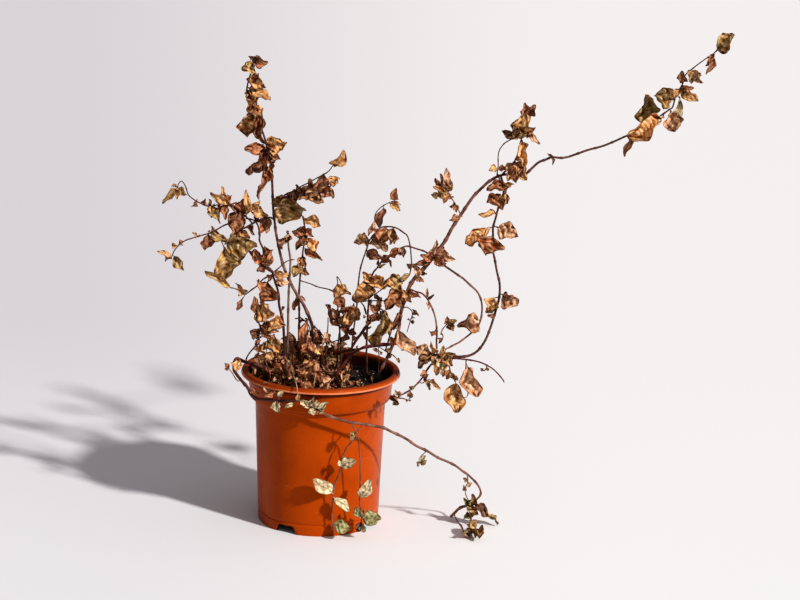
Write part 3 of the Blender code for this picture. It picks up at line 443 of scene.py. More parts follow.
def leaf_look(name, gloss):
    """Tint, darkened in blotches, in specks and along the veins, with a papery bump."""
    made = Finish(name, gloss=gloss)
    parts = made.node("SeparateXYZ", Vector=made.attribute("vein", "Vector")).outputs
    off_rib = made.maths("ABSOLUTE", parts["X"])
    rib = made.minus(1.0, made.between(off_rib, 0.03, 0.11))
    slanted = made.minus(parts["Y"], made.times(off_rib, 1.3))
    saw = made.maths("ABSOLUTE", made.minus(made.maths("FRACT", slanted), 0.5))
    side_vein = made.times(made.between(saw, 0.40, 0.49), made.between(off_rib, 0.98, 0.7))
    coarse, fine = made.noise(210.0, 4.0, 0.6), made.noise(900.0, 3.0, 0.6)
    colour = made.attribute("tint", "Color")
    for amount, strength, darkening in (
            (made.between(coarse, 0.48, 0.60), 0.55, (0.34, 0.16, 0.11, 1)),
            (made.between(fine, 0.56, 0.70), 0.45, (0.42, 0.30, 0.24, 1)),
            (side_vein, 0.50, (0.42, 0.26, 0.18, 1))):
        colour = made.mixed(made.times(amount, strength), colour, darkening, "MULTIPLY")
    colour = made.mixed(made.times(rib, 0.35), colour, (0.30, 0.16, 0.10, 1))
    rough = made.node("MapRange", Value=fine, To_Min=0.42, To_Max=0.78).outputs["Result"]
    made.shade(Base_Color=colour, Roughness=rough)
    height = made.plus(made.times(fine, 0.6), made.times(side_vein, -0.5))
    made.bump(made.plus(height, made.times(rib, -0.6)), 0.7, 0.0004)
    return made


leaf_finish = leaf_look("dead_leaf", 0.12)
litter_finish = leaf_look("litter_leaf", 0.10)

stem_finish = Finish("dry_stem", 0.5, gloss=0.25)
along = stem_finish.attribute("vein", "Vector")
streak = stem_finish.node("TexNoise", Vector=along, Scale=1.0, Detail=3.0).outputs["Fac"]
mottle = stem_finish.noise(420.0)
colour = stem_finish.attribute("tint", "Color")
for amount, darkening in (
        (stem_finish.between(streak, 0.42, 0.62), (0.48, 0.36, 0.32, 1)),
        (stem_finish.times(stem_finish.between(mottle, 0.5, 0.7), 0.5), (0.5, 0.4, 0.36, 1))):
    colour = stem_finish.mixed(amount, colour, darkening, "MULTIPLY")
stem_finish.shade(Base_Color=colour)
stem_finish.bump(stem_finish.plus(streak, mottle), 0.6, 0.0003)
print("finishes:", ", ".join(material.name for material in bpy.data.materials))

# %% [markdown]
# ## A stem
# Mint stems are square with soft corners, and thicken at the joints where pairs of leaves grew.
# A stem is a ring carried along its smooth path.  The ring's radius tapers along the stem, swells
# a little every couple of centimetres, and is squared by dividing by (|cos|^3 + |sin|^3)^(1/3).

# %% Stem surface
STEM_SIDES = 10
JOINT_GAP = 15.0


def stem_body(path, start, end, draw, tone="stem"):
    """Ring of radius r(along) * square(around) * (1 + swelling) on the path; start and end in mm."""
    walked = np.concatenate([[0], np.cumsum(np.linalg.norm(np.diff(path, axis=0), axis=1))]) / MM
    share = walked / walked[-1]
    radius = (start + (end - start) * share) * MM
    offset = draw.uniform(0, JOINT_GAP)
    from_joint = (walked + offset) % JOINT_GAP - JOINT_GAP / 2
    swelling = 0.30 * np.exp(-(from_joint / 1.3) ** 2) + 0.05 * np.sin(walked * 1.7 + offset)
    radius = radius * (1 + swelling)
    radius[0] *= 0.7
    radius[-1] *= 0.5
    around = np.linspace(0, math.tau, STEM_SIDES, endpoint=False)
    squared = (np.abs(np.cos(around)) ** 3 + np.abs(np.sin(around)) ** 3) ** (-1 / 3)
    side, up = path_frames(path)
    reach = radius[:, None, None] * squared[None, :, None]
    outwards = np.cos(around)[:, None] * side[:, None] + np.sin(around)[:, None] * up[:, None]
    rings = path[:, None] + reach * outwards
    dark, pale = (np.array(colour) for colour in STEM_TONES[tone])
    turn = draw.uniform(0, math.tau)
    patches = 0.5 + 0.3 * np.sin(walked * 0.23 + turn) + 0.2 * np.sin(walked * 0.61 + 2 * turn)
    patches = with_ends(patches)[:, None] * np.ones(STEM_SIDES)
    tint = dark + (pale - dark) * np.clip(patches, 0, 1)[..., None]
    long_way = with_ends(walked)[:, None] * np.ones(STEM_SIDES)
    ring_way = np.ones((len(path) + 2, 1)) * around
    vein = np.stack([np.cos(ring_way) * 2.2, np.sin(ring_way) * 2.2, long_way * 0.16 + turn], axis=-1)
    first = path[0] + (path[0] - path[1]) * 0.3
    last = path[-1] + (path[-1] - path[-2]) * 0.3
    return closed_surface(first, rings, last, tint=tint, vein=vein)


print("sides of a stem:", STEM_SIDES)

# %% [markdown]
# ## A leaf
# A living leaf of this plant is a flat oval with a toothed edge.  Dry, its two halves fold up on
# the midrib, roll in at the edges, twist and crumple.  The surface has one parameter along the
# midrib, v, and one across, s, from -1 at the left edge to 1 at the right.  The section across is
# an arc: the direction of the blade turns steadily from the fold at the midrib to the curl at the
# edge, and summing its cosine and sine gives the place.  A few sine waves crumple it, and the
# blade swells up between the side veins.  The same sheet, moved out along its normals, gives the
# upper and the lower side, which meet at the edge.

# %% Leaf surface
LEAF_HALF_THICKNESS = 0.09
TOOTH = 0.17
OVERSHOOT = 0.09
PALE_LEAVES = ("cream", "pale_green")


def blade_width(v, stalk, point):
    """Half width over the widest, sin(pi u^0.78)^point, for u from the blade's foot to its tip."""
    u = np.clip((v - stalk) / (1 - stalk), 0, 1)
    return np.maximum(np.sin(np.pi * u ** 0.78), 0) ** point


def leaf_body(foot, head, face, width, tone, draw, roll=0.0, fold=0.3, bow=0.12, twist=0.0, curl=None,
              crumple=1.0, stalk=0.10, fineness=1.0, scallop=1.8, point=0.78):
    """A dry leaf from foot to head, its upper side towards face; width in mm, angles in radians."""
    head = head + OVERSHOOT * (head - foot)
    length = np.linalg.norm(head - foot)
    along = (head - foot) / length
    if curl is None:
        curl = draw.uniform(0.2, 1.4)
    opened = np.cos(fold + curl * np.linspace(0, 1, 9) ** 1.2).mean()
    half_width = width / 2 * 1.26 / max(opened, 0.45) * MM
    across = np.cross(along, face)
    across /= np.linalg.norm(across)
    face = np.cross(across, along)
    rows = int(np.clip(length / MM * 1.9 * fineness, 10, 56))
    columns = int(np.clip(width * 0.6 * fineness, 4, 10))
    v = np.linspace(0.015, 0.985, rows)[:, None]
    s = np.linspace(-1, 1, 2 * columns + 1)[None, :]
    off = np.abs(s)
    teeth = max(5, int(length / MM / scallop))
    tooth = ((v * teeth) % 1.0) * np.clip(off - 0.6, 0, 1) / 0.4
    half = half_width * blade_width(v, stalk, point) * (1 - TOOTH * tooth)
    half = np.maximum(half, 0.28 * MM * (1 - 0.4 * v))
    waves = draw.uniform(0, math.tau, 8)
    lean = np.where(s < 0, np.sin(5.0 * v + waves[0]), np.sin(4.2 * v + waves[1]))
    bend = fold * (1 + 0.25 * lean) + curl * (1 + 0.5 * lean) * off ** 1.2
    step = 1.0 / columns
    away = np.cos(bend) * half * step
    lift = np.sin(bend) * half * step
    away[:, columns] = 0
    lift[:, columns] = 0
    right_x, right_y = np.cumsum(away[:, columns:], 1), np.cumsum(lift[:, columns:], 1)
    left_x, left_y = np.cumsum(away[:, columns::-1], 1), np.cumsum(lift[:, columns::-1], 1)
    x = np.concatenate([-left_x[:, :0:-1], right_x], 1)
    y = np.concatenate([left_y[:, :0:-1], right_y], 1)
    size = half_width * (0.35 + 0.65 * off) * crumple
    crease = np.abs(np.sin(3.4 * v + 4.2 * s + waves[2])) + np.abs(np.sin(7.0 * v - 3.6 * s + waves[4]))
    y = y + size * (0.30 * (crease - 1.27) + 0.11 * np.sin(24.0 * v - 6.0 * s + waves[3]))
    x = x + 0.06 * size * np.sin(17.0 * v + 2.0 * s + waves[4])
    veins = max(3, int(length / MM / 3.2))
    along_veins = v * veins
    quilt = np.abs(np.sin(np.pi * (along_veins - 1.3 * off))) * (1 - off ** 3) * blade_width(v, stalk, point)
    y = y + 0.11 * half_width * quilt
    turn = roll + twist * (v - 0.5) + 0.22 * crumple * np.sin(4.0 * v + waves[5])
    wide = across * np.cos(turn)[..., None] + face * np.sin(turn)[..., None]
    up = face * np.cos(turn)[..., None] - across * np.sin(turn)[..., None]
    arch = (4 * bow * v * (1 - v) + 0.03 * np.sin(7 * v + waves[6]) * v * (1 - v) * 4) * length
    sway = 0.05 * np.sin(6 * v + waves[7]) * 4 * v * (1 - v) * length
    midrib = foot + along * (length * v)[..., None] + face * arch[..., None] + across * sway[..., None]
    sheet = midrib + wide * x[..., None] + up * y[..., None]
    down_leaf = np.gradient(sheet, axis=0)
    over_leaf = np.gradient(sheet, axis=1)
    normal = np.cross(over_leaf, down_leaf)
    normal /= np.maximum(np.linalg.norm(normal, axis=2, keepdims=True), 1e-12)
    thick = LEAF_HALF_THICKNESS * MM * (1 - 0.75 * off ** 6) * (1 + 1.2 * np.exp(-(off / 0.12) ** 2))
    upper = sheet + normal * thick[..., None]
    lower = sheet - normal * thick[..., None]
    rings = np.concatenate([upper, lower[:, -2:0:-1]], axis=1)
    body, margin, rib, blotch = (np.array(colour) for colour in TONES[tone])
    cloud = 0.5 + 0.5 * np.sin(6.5 * v + 2.4 * s + waves[1]) * np.sin(4.1 * v - 3.3 * s + waves[3])
    edge_starts = 0.84 if tone in PALE_LEAVES else 0.62
    edge = np.clip((off - edge_starts) / (1 - edge_starts), 0, 1) ** 1.4
    edge = edge * (0.55 + 0.45 * np.sin(11 * v + waves[6]))
    dry_tip = np.clip((v - 0.80) / 0.2, 0, 1) ** 1.5
    shade = (0.8 + 0.4 * draw.random()) * (1 + 0.14 * np.sin(17 * v + 6 * s + waves[2]))
    tint = body + (blotch - body) * (np.clip(cloud * 1.3 - 0.45, 0, 1) * 0.8)[..., None]
    # Painted shade and painted highlight from the folds: the tint is darker and deeper in the troughs,
    # brighter on the ridges, and paled there as bleaching and highlight.
    tint = tint * (0.66 + 0.42 * np.clip(crease, 0, 1.4) ** 2)[..., None]
    tint = tint * (1 - np.clip(1.15 - crease, 0, 1)[..., None] * np.array((0.12, 0.38, 0.48)))
    ridge_highlight_and_bleach = rib * 0.6 + np.array((0.28, 0.235, 0.19))
    tint = tint + (ridge_highlight_and_bleach - tint) * (0.55 * np.clip((crease - 1.2) / 0.6, 0, 1))[..., None]
    tint = tint + (margin - tint) * np.clip(edge + 0.6 * dry_tip, 0, 1)[..., None]
    tint = tint + (rib - tint) * (0.5 * np.exp(-(off / 0.10) ** 2) * np.ones_like(v))[..., None]
    tint = tint * shade[..., None]
    tint = np.concatenate([tint, tint[:, -2:0:-1] * 0.9 + 0.012], axis=1)
    flat = np.ones(sheet.shape[:2])
    spot = np.stack([s * flat, along_veins * flat, waves[0] * flat], -1)
    spot = np.concatenate([spot, spot[:, -2:0:-1]], axis=1)
    tip = sheet[-1, columns] + (sheet[-1, columns] - sheet[-2, columns]) * 0.5
    return closed_surface(foot, rings, tip, tint=with_ends(tint), vein=with_ends(spot))


print("half the thickness of a leaf:", LEAF_HALF_THICKNESS, "mm")

# %% [markdown]
# ## A shoot
# A shoot is one stem with its twigs and its small leaves.  Twigs and leaf stalks start where they
# really grow: their first point is moved onto the nearest stem.  The stems become one piece and
# the leaves another, and both stand for the shoot's solid.
#
# Each shoot is written as two small tables.  A row of the first is a stem: its
# width at both ends in mm, a colon, and the places that it passes, as x, z and depth.  A row of the
# second is a leaf: where it starts, where it ends, its width in mm, its tone and any options.

# %% Shoots and leaves
PATH_STEP = 1.1 * MM
STALK_STEP = 0.8 * MM
FOOT_REACH = 3.0 * MM
BUD_LEAVES = 3
EYE = SEEN_FROM + POT_AXIS
PRESSED = {"fold": 0.12, "curl": 0.3, "crumple": 0.45, "twist": 0.15, "bow": 0.05,
           "scallop": 2.6, "point": 0.68}
every_path = []
hung_leaves = []
grown = {"stems": 0, "leaves": 0}


def stem_rows(table):
    """The places, the two widths and the own tone, if there is one, of each row of stems."""
    for row in table.split(";"):
        widths, places = row.split(":")
        start, end, *own_tone = widths.split()
        yield [triple.split() for triple in places.split(",")], float(start), float(end), own_tone


def leaf_rows(table):
    """The foot, the tip, the width and the options of each row of leaves."""
    for row in filter(str.strip, table.split(";")):
        words = row.split()
        numbers = [float(word) for word in words[:7]]
        options = {"tone": words[7]}
        for word in words[8:]:
            name, _, value = word.partition("=")
            options.update({name: float(value)} if value else PRESSED)
        yield (*place([numbers[:3], numbers[3:6]]), numbers[6], options)


def facing(foot, head):
    """From the middle of a leaf to the camera."""
    return EYE - (foot + head) / 2


def random_unit(draw):
    """A random direction: three normal draws, over their length."""
    away = draw.normal(size=3)
    return away / np.linalg.norm(away)


def shoot(name, stems, leaves="", kind="stem", tone=None, tones="gold rust maroon", nodes=None, buds=0):
    """A stem, its twigs, its leaves and, at a few joints, small dry buds."""
    draw = np.random.default_rng(sum(map(ord, name)) * 7)
    nodes = (name,) if nodes is None else nodes
    paths = []
    bodies = []
    for places, start, end, own_tone in stem_rows(stems):
        laid = place(places)
        if paths:
            laid[0] = nearest_on(paths, laid[0])[1]
        path = smooth_path(laid, PATH_STEP)
        bodies.append(stem_body(path, start, end, draw, *(own_tone or [tone or kind])))
        paths.append(path)
    every_path.extend(paths)
    new_piece(name + "_stems", bodies, stem_finish, nodes)
    grown["stems"] += len(bodies)
    bodies = []
    for foot, head, width, options in leaf_rows(leaves):
        gap, spot, _ = nearest_on(paths, foot)
        if gap < FOOT_REACH:
            foot = spot
        options = {"roll": draw.uniform(-0.35, 0.35), "twist": draw.uniform(-0.8, 0.8), **options}
        bodies.append(leaf_body(foot, head, facing(foot, head), width, draw=draw, **options))
    palette = tones.split()
    for _ in range(buds):
        path = paths[draw.integers(len(paths))]
        spot = path[draw.integers(len(path) // 8, len(path) - 1)]
        for _ in range(BUD_LEAVES):
            away = random_unit(draw)
            length = draw.uniform(2.2, 6.0)
            face, width = draw.normal(size=3), length * draw.uniform(0.35, 0.6)
            own_tone = palette[draw.integers(len(palette))]
            bodies.append(leaf_body(spot, spot + away * length * MM, face, width, own_tone, draw,
                                    stalk=0.2, fold=0.7, fineness=0.8))
    if bodies:
        new_piece(name + "_leaves", bodies, leaf_finish, nodes)
        grown["leaves"] += len(bodies)


def leaf(name, row, kind="leaf"):
    """A large leaf that is a piece of its own: kept until every stem is there to hang it on."""
    hung_leaves.append((name, row, kind))


def hang(name, row, kind):
    """Build the leaf, with a stalk in a shallow curve from the nearest stem to its foot."""
    draw = np.random.default_rng(sum(map(ord, name)) * 11)
    foot, head, width, options = next(leaf_rows(row))
    gap, spot, _ = nearest_on(every_path, foot)
    options = {"twist": draw.uniform(-0.5, 0.5), "fineness": 1.3, **options}
    body = leaf_body(foot, head, facing(foot, head), width, draw=draw, **options)
    middle = (spot + foot) / 2 + np.array([0, 0, 0.12]) * gap
    path = smooth_path(np.array([spot, middle, foot + (head - foot) * 0.08]), STALK_STEP)
    new_piece(name + "_stalk", [stem_body(path, 0.42, 0.34, draw)], stem_finish, ())
    new_piece(name + "_blade", [body], leaf_finish, (name,))
    grown["leaves"] += 1
    return gap


print("leaf options that lie flat:", PRESSED)

# %% [markdown]
# ## The pot
# The pot is one thin-walled moulding: a tapered body, a flared collar and a lip that turns down.
# Its surface is a profile of radius and height carried round the axis, and corners are rounded by
# cutting each one with an arc.  Four notches are cut in the foot ring so that water can drain:
# there the ring's lower edge rises, so its height is simply a function of the angle.

# %% Pot surface
POT_SIDES = 240
FOOT_RADIUS = 50.0
NOTCHES = (-119.4, -29.4, 60.6, 150.6)
NOTCH_HEIGHT = 6.6
FLOOR_TOP, FLOOR_UNDER = 9.3, 8.0
POT_HEIGHT = 128.0


def rounded(profile, radius=0.5, steps=4):
    """Each corner replaced by a quadratic arc that starts and ends a little way along its two edges."""
    profile = np.array(profile)
    points = [profile[:1]]
    for before, corner, after in zip(profile[:-2], profile[1:-1], profile[2:]):
        reach_in = min(radius, np.linalg.norm(before - corner) / 2.2)
        reach_out = min(radius, np.linalg.norm(after - corner) / 2.2)
        start = corner + (before - corner) / np.linalg.norm(before - corner) * reach_in
        end = corner + (after - corner) / np.linalg.norm(after - corner) * reach_out
        t = np.linspace(0, 1, steps)[:, None]
        points.append(start * (1 - t) ** 2 + corner * 2 * t * (1 - t) + end * t ** 2)
    points.append(profile[-1:])
    return np.concatenate(points)


def refined(profile, longest=4.0):
    """The profile with long edges split."""
    pieces = []
    for start, end in zip(profile[:-1], profile[1:]):
        parts = max(1, int(np.ceil(np.linalg.norm(end - start) / longest)))
        pieces.append(start + (end - start) * (np.arange(parts) / parts)[:, None])
    return np.concatenate(pieces + [profile[-1:]])


pot_profile = refined(rounded([
    (1.0, FLOOR_TOP), (48.4, FLOOR_TOP), (52.0, 103.8), (55.0, 105.6), (56.2, 107.2), (56.4, 113.0),
    (57.2, 118.0), (58.2, 122.5), (59.2, 127.0), (60.4, POT_HEIGHT), (63.0, POT_HEIGHT),
    (64.3, 127.2), (64.8, 125.4), (65.2, 124.6),
    (64.8, 123.8), (63.0, 124.2), (61.2, 124.0), (60.0, 121.0), (58.9, 117.0), (58.2, 112.5), (58.0, 107.2),
    (57.4, 105.2), (54.6, 103.9), (53.3, 102.9), (50.9, 31.0), (50.3, 10.4), (49.7, 9.6), (49.5, 8.6),
    (50.1, 8.0), (50.0, 0.0), (48.0, 0.0), (47.8, FLOOR_UNDER), (1.0, FLOOR_UNDER)]))
angle = np.linspace(0, math.tau, POT_SIDES, endpoint=False)
off_notch = [np.abs((angle - math.radians(at) + math.pi) % math.tau - math.pi) for at in NOTCHES]
off_notch = np.min(off_notch, axis=0)
notch_lift = np.interp(off_notch * FOOT_RADIUS, (7.0, 10.0), (NOTCH_HEIGHT, 0.0))
radius, height = pot_profile.T[:, :, None]
on_foot = (radius > 47.0) & (height < NOTCH_HEIGHT)
height = np.where(on_foot, np.maximum(height, notch_lift), height)
oval = 1 + 0.0025 * np.cos(2 * angle + 0.6) * (height / POT_HEIGHT) ** 2
pot_x, pot_y = radius * oval * np.cos(angle), radius * oval * np.sin(angle)
pot_rings = np.stack([pot_x, pot_y, height * np.ones_like(angle)], -1) * MM
floor_points = (0, 0, FLOOR_TOP * MM), (0, 0, FLOOR_UNDER * MM)
pot_body = closed_surface(floor_points[0], pot_rings + POT_AXIS, floor_points[1], tint=(0.5, 0.5, 0.5))
pot_body["points"][[0, -1]] += POT_AXIS
print("points in the pot's profile:", len(pot_profile))

# %% [markdown]
# The plastic is a saturated orange-brown with a satin skin.  Real moulded pots are never even: the
# gloss wanders, fine scuffs catch the light, and a few specks of soil cling to the wall.  The inside
# is darkened nearly black up to a wandering line.  The lip's outer edge carries a painted highlight,
# broken up like wear, its top is darkened as painted shade, and a painted shadow lies under it.
# Where a mark lies follows from the height and from the distance to the axis: the wall's middle
# line parts the inside from the outside.

# %% Pot finish
COLLAR_STARTS = 0.1042
COLLAR_WALL = 0.0571
LIP_REACH = 0.0644
LIP_EDGE = 0.1248
DARK_INSIDE_LEVEL = 0.1215
pot = Finish("terracotta_plastic", gloss=0.16)
pot.shade(Specular_Tint=(1.0, 0.36, 0.12, 1))
wander = pot.noise(24.0, 4.0, 0.6)
grain = pot.noise(900.0, 2.0, 0.5)
scuff = pot.noise(60.0, 5.0, 0.7, stretch=(1.0, 1.0, 7.0))
fleck = pot.noise(330.0, 1.0, 0.4)
spot = pot.spot()
high = spot["Z"]
off_x, off_y = pot.minus(spot["X"], POT_AXIS[0]), pot.minus(spot["Y"], POT_AXIS[1])
from_axis = pot.maths("SQRT", pot.maths("MULTIPLY_ADD", off_x, off_x, pot.times(off_y, off_y)))
wall_below_collar = pot.maths("MULTIPLY_ADD", high, 0.034, 0.0492)
wall_in_collar = pot.times(pot.maths("GREATER_THAN", high, COLLAR_STARTS), COLLAR_WALL)
wall_in_lip = pot.maths("MULTIPLY_ADD", high, 0.45, 0.0048)
wall_middle = pot.maths("MAXIMUM", wall_below_collar, pot.maths("MAXIMUM", wall_in_collar, wall_in_lip))
inside = pot.maths("LESS_THAN", from_axis, wall_middle)
# The inside is darkened nearly black up to a wandering line.
dark_inside_top = pot.maths("MULTIPLY_ADD", wander, 0.006, DARK_INSIDE_LEVEL)
below_dark_top = pot.minus(1.0, pot.between(pot.minus(high, dark_inside_top), -0.0015, 0.0025))
dark_inside = pot.times(pot.times(inside, below_dark_top), 0.96)
# Painted highlight: a pale band along the lip's outer edge, broken up by the scuff noise like wear.
outermost = pot.maths("GREATER_THAN", from_axis, LIP_REACH)
on_edge = pot.times(outermost, pot.maths("COMPARE", high, LIP_EDGE, 0.0007))
lip_edge_highlight_and_wear = pot.times(on_edge, pot.between(scuff, 0.25, 0.5))
# Painted shadow: a dark band just under the lip, on the outside of the wall only.
painted_shadow_under_lip = pot.times(pot.between(high, 0.1190, 0.1222), pot.between(high, 0.1245, 0.1238))
colour = pot.mixed(pot.between(wander, 0.35, 0.7), (0.41, 0.061, 0.002, 1), (0.33, 0.046, 0.0015, 1))
for share, laid_on in (
        (pot.times(pot.between(scuff, 0.60, 0.76), 0.30), (0.70, 0.24, 0.11, 1)),
        (pot.times(pot.between(fleck, 0.775, 0.80), 0.8), (0.03, 0.012, 0.008, 1)),
        # the inside, darkened nearly black
        (dark_inside, (0.008, 0.0035, 0.003, 1)),
        # painted highlight along the lip's outer edge, broken up like wear
        (pot.times(lip_edge_highlight_and_wear, 0.65), (0.78, 0.30, 0.17, 1)),
        # painted shadow under the lip
        (pot.times(painted_shadow_under_lip, pot.minus(0.85, pot.times(inside, 0.85))), (0.035, 0.006, 0.003, 1)),
        # painted shade: the top of the lip is darkened
        (pot.times(pot.between(high, 0.1262, 0.1274), 0.6), (0.19, 0.034, 0.010, 1))):
    colour = pot.mixed(share, colour, laid_on)
rough = pot.node("MapRange", Value=scuff, From_Min=0.3, From_Max=0.8, To_Min=0.26, To_Max=0.44)
pot.shade(Base_Color=colour, Roughness=pot.maths("MAXIMUM", rough.outputs["Result"], dark_inside))
pot.bump(pot.plus(grain, pot.times(wander, 2.0)), 0.25, 0.0004)
pot_piece = new_piece("nursery_pot", [pot_body], pot, ("pot",))
print("pot faces before drilling:", len(pot_piece.data.polygons))

# %% [markdown]
# The base has four round drain holes, cut one after the other through the floor.

# %% Drain holes
HOLES = 4
HOLE_RADIUS = 3.2
HOLE_SPREAD = 26
DRILL_LENGTH = 6
FLOOR_MIDDLE = 8.6
for turn in range(HOLES):
    bit = bmesh.new()
    bmesh.ops.create_cone(bit, cap_ends=True, segments=32, depth=DRILL_LENGTH * MM,
                          radius1=HOLE_RADIUS * MM, radius2=HOLE_RADIUS * MM)
    around = math.radians(45 + 90 * turn)
    hole_at = Vector((HOLE_SPREAD * math.cos(around), HOLE_SPREAD * math.sin(around), FLOOR_MIDDLE)) * MM
    bmesh.ops.translate(bit, verts=bit.verts, vec=Vector(POT_AXIS) + hole_at)
    drill_mesh = bpy.data.meshes.new("drill")
    bit.to_mesh(drill_mesh)
    bit.free()
    drill = bpy.data.objects.new("drill", drill_mesh)
    bpy.context.scene.collection.objects.link(drill)
    cut = pot_piece.modifiers.new("drain", "BOOLEAN")
    cut.operation = "DIFFERENCE"
    cut.solver = "EXACT"
    cut.object = drill
    graph = bpy.context.evaluated_depsgraph_get()
    drilled = bpy.data.meshes.new_from_object(pot_piece.evaluated_get(graph))
    pot_piece.modifiers.clear()
    pot_piece.data = drilled
    bpy.data.objects.remove(drill)
print("pot faces:", len(pot_piece.data.polygons))

# %% [markdown]
# ## Soil
# The compost is nearly black, fine and dry, with paler grit in it.  Its top is a height over the
# disc, a low swell with lumps, and it goes down the inside of the pot as one closed body.  Crumbs
# are small icosahedra pushed out of shape, a thousand and more of them, each with twenty faces.

# %% Soil surface
SOIL_LEVEL = 113.0
SOIL_UNDERSIDE = 9.7
SOIL_REACH = 53.6
CRUMBS = 1700
GRIT = 300


def soil_height(x, y):
    """Top of the soil in mm: a low dome, with lumps where it is bare."""
    swell = 2.0 * (1 - (x * x + y * y) / 54.0 ** 2) + 4.5 * np.clip((0.5 * x + 0.85 * y) / 50.0, 0, 1)
    lumps = 0.9 * np.sin(0.21 * x + 1.3) * np.cos(0.17 * y) + 0.6 * np.sin(0.43 * x - 0.37 * y)
    return SOIL_LEVEL + swell + lumps * np.clip((x - 24.0) / 8.0, 0, 1)


soil = Finish("dry_compost", 0.62, gloss=0.18)
peat, pale_specks = soil.noise(260.0, 6.0, 0.7), soil.noise(700.0, 2.0, 0.6)
colour = soil.mixed(soil.between(peat, 0.4, 0.7), (0.006, 0.004, 0.0035, 1), (0.030, 0.019, 0.014, 1))
soil.shade(Base_Color=soil.mixed(soil.between(pale_specks, 0.66, 0.72), colour, (0.30, 0.27, 0.24, 1)))
soil.bump(peat, 1.0, 0.0015)

radius = np.concatenate([np.linspace(1.2, SOIL_REACH, 50), [53.75, 52.1, 51.4, 47.8]])[:, None]
angle = np.linspace(0, math.tau, 180, endpoint=False)[None, :]
x, y = radius * np.cos(angle), radius * np.sin(angle)
crumble = (np.sin(1.9 * x + 0.8 * y) * np.sin(1.3 * y - 0.9 * x + 1.0) * 0.35
           + np.sin(3.7 * x - 2.9 * y) * np.sin(4.1 * y + 0.5) * 0.2)
height = soil_height(x, y) + crumble * np.clip((SOIL_REACH - radius) / 3, 0, 1)
height[-4:] = np.array([112.6, 107.0, 103.5, SOIL_UNDERSIDE])[:, None]
soil_rings = np.stack([x, y, height], -1) * MM + POT_AXIS
soil_top, soil_under = (np.array([0, 0, level]) * MM + POT_AXIS for level in (115.0, SOIL_UNDERSIDE))
soil_body = closed_surface(soil_top, soil_rings, soil_under, tint=(0.5, 0.5, 0.5))
new_piece("compost", [soil_body], soil, ("soil",))


def crumb_mesh(name, x, y, rise, sizes, finish, draw):
    """Many lumps on the soil in one mesh: an icosahedron's corners, each moved by a random factor."""
    ball = bmesh.new()
    bmesh.ops.create_icosphere(ball, subdivisions=1, radius=1.0)
    corners = np.array([v.co for v in ball.verts])
    faces = np.array([[v.index for v in f.verts] for f in ball.faces])
    ball.free()
    count = len(x)
    centres = np.stack([x, y, soil_height(x, y) + rise], 1)
    shapes = corners[None] * draw.uniform(0.6, 1.3, (count, len(corners), 1))
    shapes = shapes * draw.uniform(0.6, 1.2, (count, 1, 3))
    points = (centres[:, None] + shapes * sizes[:, None, None]) * MM + POT_AXIS
    every = (faces[None] + (np.arange(count) * len(corners))[:, None, None]).reshape(-1, 3)
    mesh = bpy.data.meshes.new(name)
    mesh.from_pydata(points.reshape(-1, 3), [], every.tolist())
    return join_plant(name, mesh, finish)


def scattered(draw, count, reach):
    """x and y of random places, spread evenly over a disc."""
    spread = reach * np.sqrt(draw.random(count))
    turn = draw.uniform(0, math.tau, count)
    return spread * np.cos(turn), spread * np.sin(turn)


draw = np.random.default_rng(41)
x, y = scattered(draw, CRUMBS, 53.0)
sizes = draw.uniform(0.35, 1.3, CRUMBS) * np.where(draw.random(CRUMBS) < 0.1, 1.7, 1.0)
crumb_mesh("compost_crumbs", x, y, 0.15, sizes, soil, draw)
grit = Finish("pale_grit", 0.8)
grit.shade(Base_Color=grit.mixed(grit.noise(300.0), (0.62, 0.58, 0.52, 1), (0.32, 0.27, 0.22, 1)))
x, y = scattered(draw, GRIT, 52.0)
crumb_mesh("compost_grit", x, y, 0.35, draw.uniform(0.3, 1.0, GRIT), grit, draw)
print("crumbs on the soil:", CRUMBS + GRIT)

# %% [markdown]
# ## Leaf litter
# Leaves have dropped onto the soil and lie there curled, rust and gold, deepest at the left, where
# they reach the rim.  A rough bed, coloured nearly black as painted shade, fills the gaps, and over
# it lie a few hundred leaves and broken twigs, each one the same surface as a leaf on the plant,
# turned at random.  The loosest ones are heaped up against the left of the rim, and a few small
# ones lie on the bare soil at the right.

# %% Litter bed
LITTER_CENTRE = np.array([-15.0, -2.0])
LITTER_REACH = np.array([37.0, 45.0])
BED_SINKS = 2.6


def litter_height(x, y):
    """Top of the litter in mm: a bank that deepens to the left, crumpled by three waves."""
    bank = 5.5 + 3.0 * np.clip(-x / 55.0, 0, None)
    crumple = 2.2 * np.sin(0.33 * x + 0.7) * np.sin(0.29 * y + 0.4) + 1.1 * np.sin(0.71 * x + 0.55 * y)
    return soil_height(x, y) + 0.6 + np.maximum(1.6, bank + crumple)


share = np.linspace(0.03, 1.0, 44)[:, None]
angle = np.linspace(0, math.tau, 150, endpoint=False)[None, :]
x = LITTER_CENTRE[0] + LITTER_REACH[0] * share * np.cos(angle)
y = LITTER_CENTRE[1] + LITTER_REACH[1] * share * np.sin(angle)
rough = (0.7 * np.sin(1.1 * x + 0.6 * y) * np.sin(0.9 * y - 0.4 * x)
         + 0.5 * np.sin(2.3 * x - 1.9 * y) * np.sin(2.7 * y + x))
height = litter_height(x, y) - BED_SINKS + rough
rim_fall = np.clip((share - 0.86) / 0.14, 0, 1) ** 2
height = height * (1 - rim_fall) + (soil_height(x, y) + 0.2) * rim_fall
